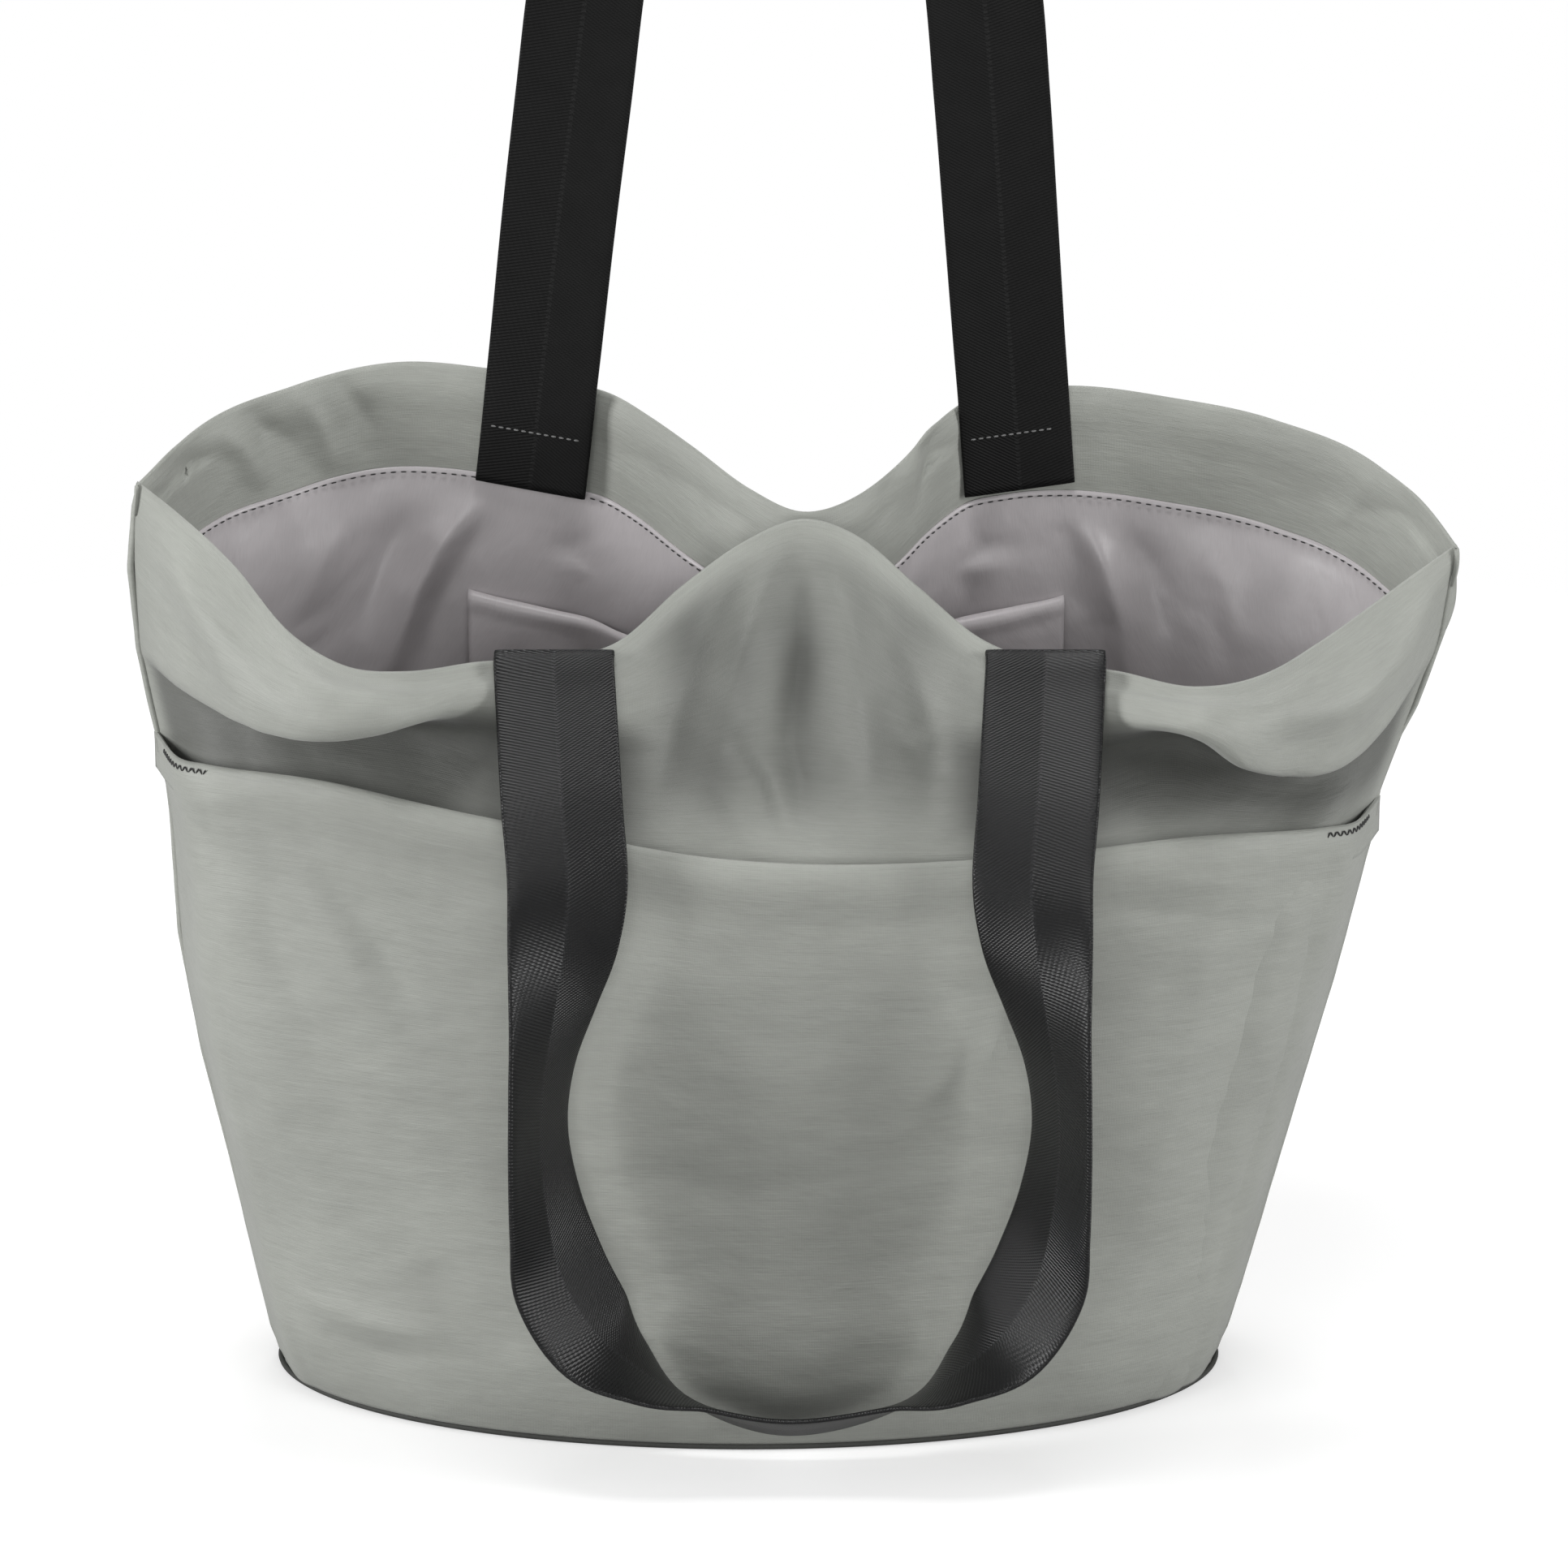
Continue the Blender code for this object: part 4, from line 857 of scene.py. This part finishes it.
PU = np.linspace(-1, 1, 41)
HEM = hem_height(PU)
gape = 1.0 - np.abs(PU) ** 4
rows = [body_row(PU, 1.6, 0.2), body_row(PU, 9.0, 3.2), body_row(PU, 70.0, 2.2), body_row(PU, 140.0, 2.2)]
for share, out in ((0.90, 1.6), (1.0, 1.4)):
    z = HEM * share
    deep = (body_depth(0.56, PU) + out) * (1 - 0.015 * (share == 1.0))
    rows.append(np.stack([wall_x(PU, z), -deep, z], axis=1))
for row in rows:
    middle = (row[0, 0] + row[-1, 0]) / 2
    row[:, 0] = middle + (row[:, 0] - middle) * (1 + 0.8 / 190)
    row[0, 1] = row[-1, 1] = -0.5
top = rows[-1]
rows += [top + [0, 0.9, 0.9], top + [0, 1.9, -1.0], top + [0, 2.2, -HEM_TURN]]
pocket_grid, place = refine(rows, PU, WARPED_U, POCKET_FINE)
outer = smooth((5.4 - place) / 0.4)[:, None]
low = smooth(place / 1.0)[:, None]
lift = strokes(pocket_grid, [
    (3.0, 13, [(-176, 208), (-166, 150), (-150, 105), (-132, 66)]),
    (-2.0, 9, [(-160, 205), (-150, 160), (-134, 120)]),
    (1.6, 7, [(-148, 190), (-126, 168), (-112, 140)]),
    (-1.5, 6, [(-138, 196), (-118, 172), (-104, 150)]),
    (1.4, 5, [(-176, 214), (-160, 200), (-152, 186)]),
    (-1.3, 4, [(-180, 206), (-168, 192), (-160, 176)]),
    (-3.2, 10, [(66, 122), (80, 140), (84, 168)]),
    (3.0, 11, [(52, 118), (66, 134), (74, 160)]),
    (-1.6, 5, [(-140, 30), (-122, 26), (-104, 27)]),
    (1.6, 6, [(-150, 40), (-124, 36), (-96, 36)]),
    (-1.2, 6, [(-110, 62), (-92, 46), (-74, 34)]),
    (1.4, 8, [(-70, 60), (-40, 44), (0, 36)]),
    (1.6, 10, [(150, 180), (140, 130), (128, 80)]),
    (-1.4, 8, [(170, 170), (160, 120), (146, 70)]),
    (1.2, 6, [(120, 196), (150, 190), (176, 182)]),
    (-1.0, 5, [(110, 188), (140, 180), (170, 172)]),
    (1.2, 12, [(-30, 140), (10, 132), (50, 140)]),
    (-1.2, 10, [(-40, 100), (0, 94), (40, 100)]),
])
lift = lift * low * outer
lift += 1.1 * rough(pocket_grid, 42, 61.0) * low * outer
lift += 0.35 * rough(pocket_grid, 14, 67.0, (0.7, 1, 1.4)) * low * outer
pocket_grid = pocket_grid + normals_of(pocket_grid) * (lift * seam_hold(WARPED_U))[..., None]
front_pocket = cloth("front_pocket_cloth", pocket_grid, SHELL, CLOTH_T)

# ---- webbing ----


RIBBON_STEP = 2.5
RIBBON_FACETS = 12


def ribbon_profile():
    """The webbing's cross section, across and through it, with its edges rounded."""
    side, edge = WEBBING_W / 2, WEBBING_T * 0.15
    top = []
    for k in range(RIBBON_FACETS + 1):
        s = -1 + 2 * k / RIBBON_FACETS
        top.append((s * (side - WEBBING_T / 2), WEBBING_T / 2 * (1 - 0.10 * (abs(s) > 0.93))))
    right = [(side - edge, WEBBING_T * 0.36), (side, 0.0), (side - edge, -WEBBING_T * 0.36)]
    left = [(-a, -b) for a, b in right]
    return top + right + [(a, -b) for a, b in reversed(top)] + left


def ribbon(name, path, finish):
    """A flat woven band along (x, y, z, turn, tilt) points.

    Its width lies along (-cos turn, -sin turn, 0), with its near edge lifted by tilt.
    """
    path = np.array(path, float)
    gaps = np.sqrt(np.linalg.norm(np.diff(path[:, :3], axis=0), axis=1))
    knots = np.concatenate([[0], np.cumsum(gaps)])
    dense = spline(path, knots, np.linspace(0, knots[-1], 3000))
    run = length_along(dense[:, :3])
    at = np.linspace(0, run[-1], int(run[-1] / RIBBON_STEP) + 1)
    spots = np.stack([np.interp(at, run, dense[:, k]) for k in range(5)], axis=1)
    centres, turns, tilts = spots[:, :3], np.radians(spots[:, 3]), np.radians(spots[:, 4])
    ahead = np.gradient(centres, axis=0)
    ahead /= np.linalg.norm(ahead, axis=1, keepdims=True)
    across = np.stack([-np.cos(turns), -np.sin(turns) * np.cos(tilts), np.sin(turns) * np.sin(tilts)], axis=1)
    across -= ahead * (across * ahead).sum(axis=1, keepdims=True)
    across /= np.linalg.norm(across, axis=1, keepdims=True)
    out = np.cross(ahead, across)
    profile = ribbon_profile()
    verts, uvs = [], []
    for i in range(len(centres)):
        for a, b in profile:
            verts.append(centres[i] + across[i] * a + out[i] * b)
            uvs.append((a * MM, at[i] * MM))
    faces = [face[::-1] for face in ring_faces(len(centres), len(profile))]
    return add_mesh(name, verts, faces, uvs, finish)


def front_leg(sign):
    """Half of the hanging handle, from its sewn end inside the rim to near the bottom of its U."""
    x = PINCH_X + sign * STRAP_HALF_SPREAD
    end = [(-45.2, 222.0), (-45.6, 240.0), (-46.2, 254.0), (-48.4, 260.6), (-51.4, 261.8), (-55.6, 259.5)]
    leg = [(x, y, z, 0, 0) for y, z in end]
    shape = [
        (76.9, -62.0, 252.6, 0, 0), (75.6, -76.0, 239.5, 2, 0), (74.0, -91.5, 222.8, 6, 0),
        (72.2, -102.3, 202.1, 12, 0), (73.6, -107.5, 184.0, 26, 0), (77.0, -110.6, 163.0, 46, 0),
        (80.6, -112.0, 141.0, 60, 0), (82.0, -111.8, 118.0, 64, 0), (80.0, -109.8, 93.0, 56, 0),
        (75.6, -108.4, 72.0, 42, 0), (65.0, -108.6, 53.0, 42, 4), (51.0, -108.4, 40.0, 62, 14),
        (34.0, -107.6, 29.0, 80, 26),
    ]
    return leg + [(PINCH_X + sign * out, y, z, turn, tilt) for out, y, z, turn, tilt in shape]


def mirrored(leg):
    return [(x, y, z, 180 - turn, tilt) for x, y, z, turn, tilt in leg][::-1]


front_path = front_leg(-1) + [(13.0, -106.6, 20.0, 90, 30)] + mirrored(front_leg(1))
front_handle = ribbon("front_handle_webbing", front_path, FRONT_WEBBING)


BACK_LEG_Z = [283.5, 300, 318, 334, 374, 416, 458, 500, 539, 570]
BACK_LEG_TURN = [-BACK_STRAP_TURN] * 3 + [-12, -8, -2, 8, 30, 62, 84]
BACK_LEFT_X = [-72.5, -70.5, -68.5, -66.6, -62.0, -56.6, -51.0, -42.0, -29.0, -11.0]
BACK_RIGHT_X = [90.5, 89.2, 87.8, 86.4, 83.2, 79.8, 75.6, 66.5, 51.0, 32.0]
BACK_LEG_Y = [64.6, 64.4, 64.1, 63.8, 63.6, 63.6, 63.6, 63.6, 63.6, 63.6]


def back_leg(places):
    return [(x, y, z, turn, 0) for x, y, z, turn in zip(places, BACK_LEG_Y, BACK_LEG_Z, BACK_LEG_TURN)]


back_path = back_leg(BACK_LEFT_X) + [(10.0, 63.6, 583.0, 90, 0)] + mirrored(back_leg(BACK_RIGHT_X))
back_handle = ribbon("back_handle_webbing", back_path, BACK_WEBBING)

# ---- stitching ----


STITCH_SIDES = 6
# a stitch's radius at shares of its length, as it comes up out of the cloth and goes down again
STITCH_SHAPE = [(0.0, 0.25), (0.15, 0.85), (0.5, 1.0), (0.85, 0.85), (1.0, 0.25)]
CROSS_STITCH = 31.0


def stitches(name, paths, finish, length, gap, radius, zigzag=0.0):
    """Short thread stitches along rows of points."""
    verts, faces, uvs = [], [], []
    for path in paths:
        path = np.array(path, float)
        run = length_along(path)
        count = max(int(run[-1] / (length + gap)), 1)
        for c in range(count):
            start = c * (length + gap)
            ends = (start, start + length)
            a, b = (np.array([np.interp(end, run, path[:, k]) for k in range(3)]) for end in ends)
            if zigzag:
                shift = np.array([0, 0, zigzag / 2])
                a, b = (a + shift, b - shift) if c % 2 else (a - shift, b + shift)
            ahead = (b - a) / max(np.linalg.norm(b - a), 1e-6)
            across = np.cross(ahead, [0, 1, 0])
            across /= max(np.linalg.norm(across), 1e-6)
            up = np.cross(ahead, across)
            first = len(verts)
            for s, r in STITCH_SHAPE:
                for angle in round_angles(STITCH_SIDES):
                    spot = a + (b - a) * s + (across * cos(angle) + up * sin(angle)) * radius * r
                    verts.append(spot)
                    uvs.append((s * length * MM, angle * radius * MM))
            faces += ring_faces(len(STITCH_SHAPE), STITCH_SIDES, first)
    return add_mesh(name, verts, faces, uvs, finish)


def level_line(x, y, z):
    """A level line across a strap, as long as its cross stitch."""
    return [(x - CROSS_STITCH / 2, y, z), (x + CROSS_STITCH / 2, y, z)]


def strap_line(x, z):
    """A line across a raised strap, just in front of its face, as long as its cross stitch."""
    places = BACK_LEFT_X if x < 0 else BACK_RIGHT_X
    middle = np.interp(z, BACK_LEG_Z, places)
    lean = (places[3] - places[0]) / (BACK_LEG_Z[3] - BACK_LEG_Z[0])
    turn = radians(BACK_STRAP_TURN) * (1 if x < 0 else -1)
    steps = [k * CROSS_STITCH / 2 for k in (-1, 0, 1)]
    return [(middle + step * cos(turn), 63.3 - step * sin(turn), z - step * lean) for step in steps]


def cross_stitch(handle, word, line):
    name = handle + "_stitch_" + word + "_thread"
    return stitches(name, [line], LIGHT_THREAD, 1.7, 0.9, 0.34)


def seam_stitches(name, rows, gap):
    return stitches(name, rows, DARK_THREAD, 1.9, gap, 0.26)


SIDES = ("left", "right")
back_stitches, front_stitches = [], []
for word, back_x in zip(SIDES, BACK_STRAP_X):
    back_stitches.append(cross_stitch("back_handle", word, strap_line(back_x, 303.0)))
for word, front_x in zip(SIDES, FRONT_STRAP_X):
    front_stitches.append(cross_stitch("front_handle", word, level_line(front_x, -44.1, 232.0)))
facing_seam = seam_stitches("facing_back_stitching", [back_seam_row[6:-6]], 1.5)
front_seam = seam_stitches("facing_front_stitching", [front_seam_row[6:-6]], 1.5)

STITCH_OUT = 0.25
patch_lines = [
    patch_grid[8:78, 2] + [1, -STITCH_OUT, 0],
    patch_grid[8:78, -3] - [1, STITCH_OUT, 0],
    patch_grid[3, 3:-3] - [0, STITCH_OUT, 0],
]
pocket_thread = seam_stitches("inner_pocket_stitching", patch_lines, 1.3)

# a zigzag tack at each end of the front pocket's hem
BARTACK_ROW = 152
bartacks = []
for word, columns in zip(SIDES, (range(4, 20), range(-20, -4))):
    line = [pocket_grid[BARTACK_ROW, k] - [0, STITCH_OUT, 0] for k in columns]
    name = "pocket_bartack_" + word + "_thread"
    bartacks.append(stitches(name, [line], DARK_THREAD, 1.3, 0.2, 0.30, 1.8))

# ---- side seam tapes ----


def seam_tape(name, edge, sign):
    rows = []
    for z in np.linspace(6, 258 if sign < 0 else 238, 60):
        x = float(edge_x(edge, z)) * (1 - 0.012) - sign * 1.2
        row = []
        for k in range(9):
            angle = pi * (k / 8 - 0.5)
            row.append((x - sign * (5.4 - 4.2 * cos(angle)), 2.6 * sin(angle), z))
        rows.append(row)
    return cloth(name, np.array(rows), TAPE, 0.5, flip=sign < 0)


tapes = [
    seam_tape("side_seam_tape_left_cloth", LEFT_EDGE, -1),
    seam_tape("side_seam_tape_right_cloth", RIGHT_EDGE, 1),
]

# ---- the binding round the base ----


TUBE_SIDES = 10


def ring_tube(name, path, radius, finish):
    """A round binding along a closed ring of points."""
    path = np.array(path)
    ahead = np.roll(path, -1, axis=0) - np.roll(path, 1, axis=0)
    ahead /= np.linalg.norm(ahead, axis=1, keepdims=True)
    away = np.cross(ahead, [0, 0, 1])
    run = length_along(path)
    verts, uvs = [], []
    for i, spot in enumerate(path):
        for angle in round_angles(TUBE_SIDES):
            verts.append(spot + away[i] * radius * cos(angle) + np.array([0, 0, radius * sin(angle)]))
            uvs.append((run[i] * MM, angle * radius * MM))
    faces = [face[::-1] for face in ring_faces(len(path), TUBE_SIDES, closed=True)]
    return add_mesh(name, verts, faces, uvs, finish)


RIDGE_RADIUS = 1.25


def seam_ridge(name, edge, top):
    """A side seam's ridge from base to rim, where front, pocket and back are sewn together."""
    verts, uvs = [], []
    heights = np.linspace(1.5, top, 140)
    for i, z in enumerate(heights):
        x = float(edge_x(edge, z))
        swell = RIDGE_RADIUS * (1 + 0.10 * noise.noise(Vector((z / 9, x / 50, 3.0))))
        swell *= min(1.0, 0.35 + (i / 6)) * min(1.0, 0.25 + (len(heights) - 1 - i) / 4)
        for angle in round_angles(TUBE_SIDES):
            verts.append((x + swell * cos(angle), swell * 1.25 * sin(angle), z))
            uvs.append((angle * RIDGE_RADIUS * MM, z * MM))
    return add_mesh(name, verts, ring_faces(len(heights), TUBE_SIDES), uvs, SHELL)


ridges = [
    seam_ridge("side_seam_ridge_left", LEFT_EDGE, 302.0),
    seam_ridge("side_seam_ridge_right", RIGHT_EDGE, 281.0),
]

ROUND_U = np.sin(np.linspace(-pi / 2, pi / 2, 121))
near_side = body_row(ROUND_U, 1.15, 0.3)
far_side = body_row(ROUND_U, 1.15, 0.3, 1)[::-1][1:-1]
binding = ring_tube("base_seam_binding_edge", np.concatenate([near_side, far_side]), 0.95, DARK_TAPE)

# ---- carried-over CAD nodes ----

for node, finish in (
    ("base_panel", BASE_CLOTH), ("lining_base", BASE_CLOTH),
    ("snap_magnet_cup", SNAP_METAL), ("snap_stud_plate", SNAP_METAL), ("snap_washer_front", SNAP_METAL),
    ("snap_washer_back", SNAP_METAL), ("snap_magnet", MAGNET),
):
    for entry in NODES[node].material_slots:
        entry.material = finish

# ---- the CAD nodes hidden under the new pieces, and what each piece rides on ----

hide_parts("shell_front_panel", "facing_front")
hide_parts("shell_back_panel", "facing_back")
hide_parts("lining_front")
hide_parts("lining_back")
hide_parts("inner_pocket_panel")
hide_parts("front_pocket_panel")
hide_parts("base_seam_binding")
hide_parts("front_handle_loop", "front_handle_end_left", "front_handle_end_right")
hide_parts("back_handle_loop", "back_handle_end_left", "back_handle_end_right")
for pair, node in (
    (back_stitches, "back_handle_stitch_"), (front_stitches, "front_handle_stitch_"),
    (bartacks, "pocket_bartack_"), (tapes, "side_seam_tape_"),
):
    for piece, word in zip(pair, SIDES):
        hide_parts(node + word)

still = [front_shell, back_shell, front_lining, back_lining, inner_pocket, front_pocket]
still += [facing_seam, front_seam, binding, *ridges, pocket_thread]
still += [*back_stitches, *front_stitches, *bartacks, *tapes]
for piece in still:
    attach(piece, "bag")
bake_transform(front_handle)
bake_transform(back_handle)

# ---- floor, light and camera ----

FLOOR_RADIUS = 1.0
FLOOR_SIDES = 96


def by_ray(tree, ordinary, camera):
    """One shader for what the camera sees directly, and another for every other ray."""
    path = tree.nodes.new("ShaderNodeLightPath")
    either = tree.nodes.new("ShaderNodeMixShader")
    tree.links.new(path.outputs["Is Camera Ray"], either.inputs["Fac"])
    tree.links.new(ordinary, either.inputs[1])
    tree.links.new(camera, either.inputs[2])
    return either.outputs["Shader"]


floor_mesh = bpy.data.meshes.new("floor")
ring = [(FLOOR_RADIUS * cos(angle), FLOOR_RADIUS * sin(angle), 0) for angle in round_angles(FLOOR_SIDES)]
floor_mesh.from_pydata(ring, [], [tuple(range(FLOOR_SIDES))])
floor = placed("floor", floor_mesh)
f = Finish("pale_floor")
speckle = f.noise(f.object_map((3, 3, 3)), 1.0, 2.0)
f.set(Roughness=0.9, Specular_IOR_Level=0.1, Emission_Color=(1, 1, 1, 1), Emission_Strength=0.47)
f.finish(f.ramp(speckle, [(0.3, grey(0.60)), (0.7, grey(0.62))]))
dull = f.node("ShaderNodeBsdfDiffuse")
dull.inputs["Color"].default_value = (0.50, 0.50, 0.50, 1)
shown = by_ray(f.tree, dull.outputs["BSDF"], f.shader.outputs["BSDF"])
f.link(shown, f.tree.nodes["Material Output"].inputs["Surface"])
floor_mesh.materials.append(f.material)


def aimed(obj, place, aim):
    obj.location = place
    obj.rotation_euler = (Vector(aim) - Vector(place)).to_track_quat("-Z", "Y").to_euler()


def area_light(name, place, aim, size, power):
    data = bpy.data.lights.new(name, "AREA")
    data.shape = "RECTANGLE"
    data.size, data.size_y = size
    data.energy = power
    aimed(placed(name, data), place, aim)


area_light("left", (-1.9, -0.7, 0.70), (0, 0, 0.15), (0.8, 1.0), 35)
area_light("right", (1.9, -0.65, 0.70), (0, 0, 0.15), (0.8, 1.0), 27)
area_light("top", (0.0, -0.55, 1.85), (0, 0.0, 0.2), (0.7, 0.3), 9)
area_light("back", (0.0, 0.7, 1.6), (0, 0.05, 0.2), (1.0, 0.8), 12)
area_light("front", (-0.2, -2.4, 0.62), (0, 0, 0.10), (1.4, 0.7), 15)

world = bpy.data.worlds.new("studio")
bpy.context.scene.world = world
world.use_nodes = True
tree = world.node_tree
sky = tree.nodes["Background"]
sky.inputs["Color"].default_value = (1, 1, 1, 1)
sky.inputs["Strength"].default_value = 0.20
white = tree.nodes.new("ShaderNodeBackground")
white.inputs["Color"].default_value = (1, 1, 1, 1)
white.inputs["Strength"].default_value = 1.0
shown = by_ray(tree, sky.outputs["Background"], white.outputs["Background"])
tree.links.new(shown, tree.nodes["World Output"].inputs["Surface"])

camera_data = bpy.data.cameras.new("camera")
camera_data.lens = 137
camera_data.sensor_width = 36
camera = placed("camera", camera_data)
aimed(camera, (0.012, -1.8546, 0.8036), (0.012, 0, 0.2014))
bpy.context.scene.camera = camera
bpy.context.scene.view_settings.view_transform = "Standard"
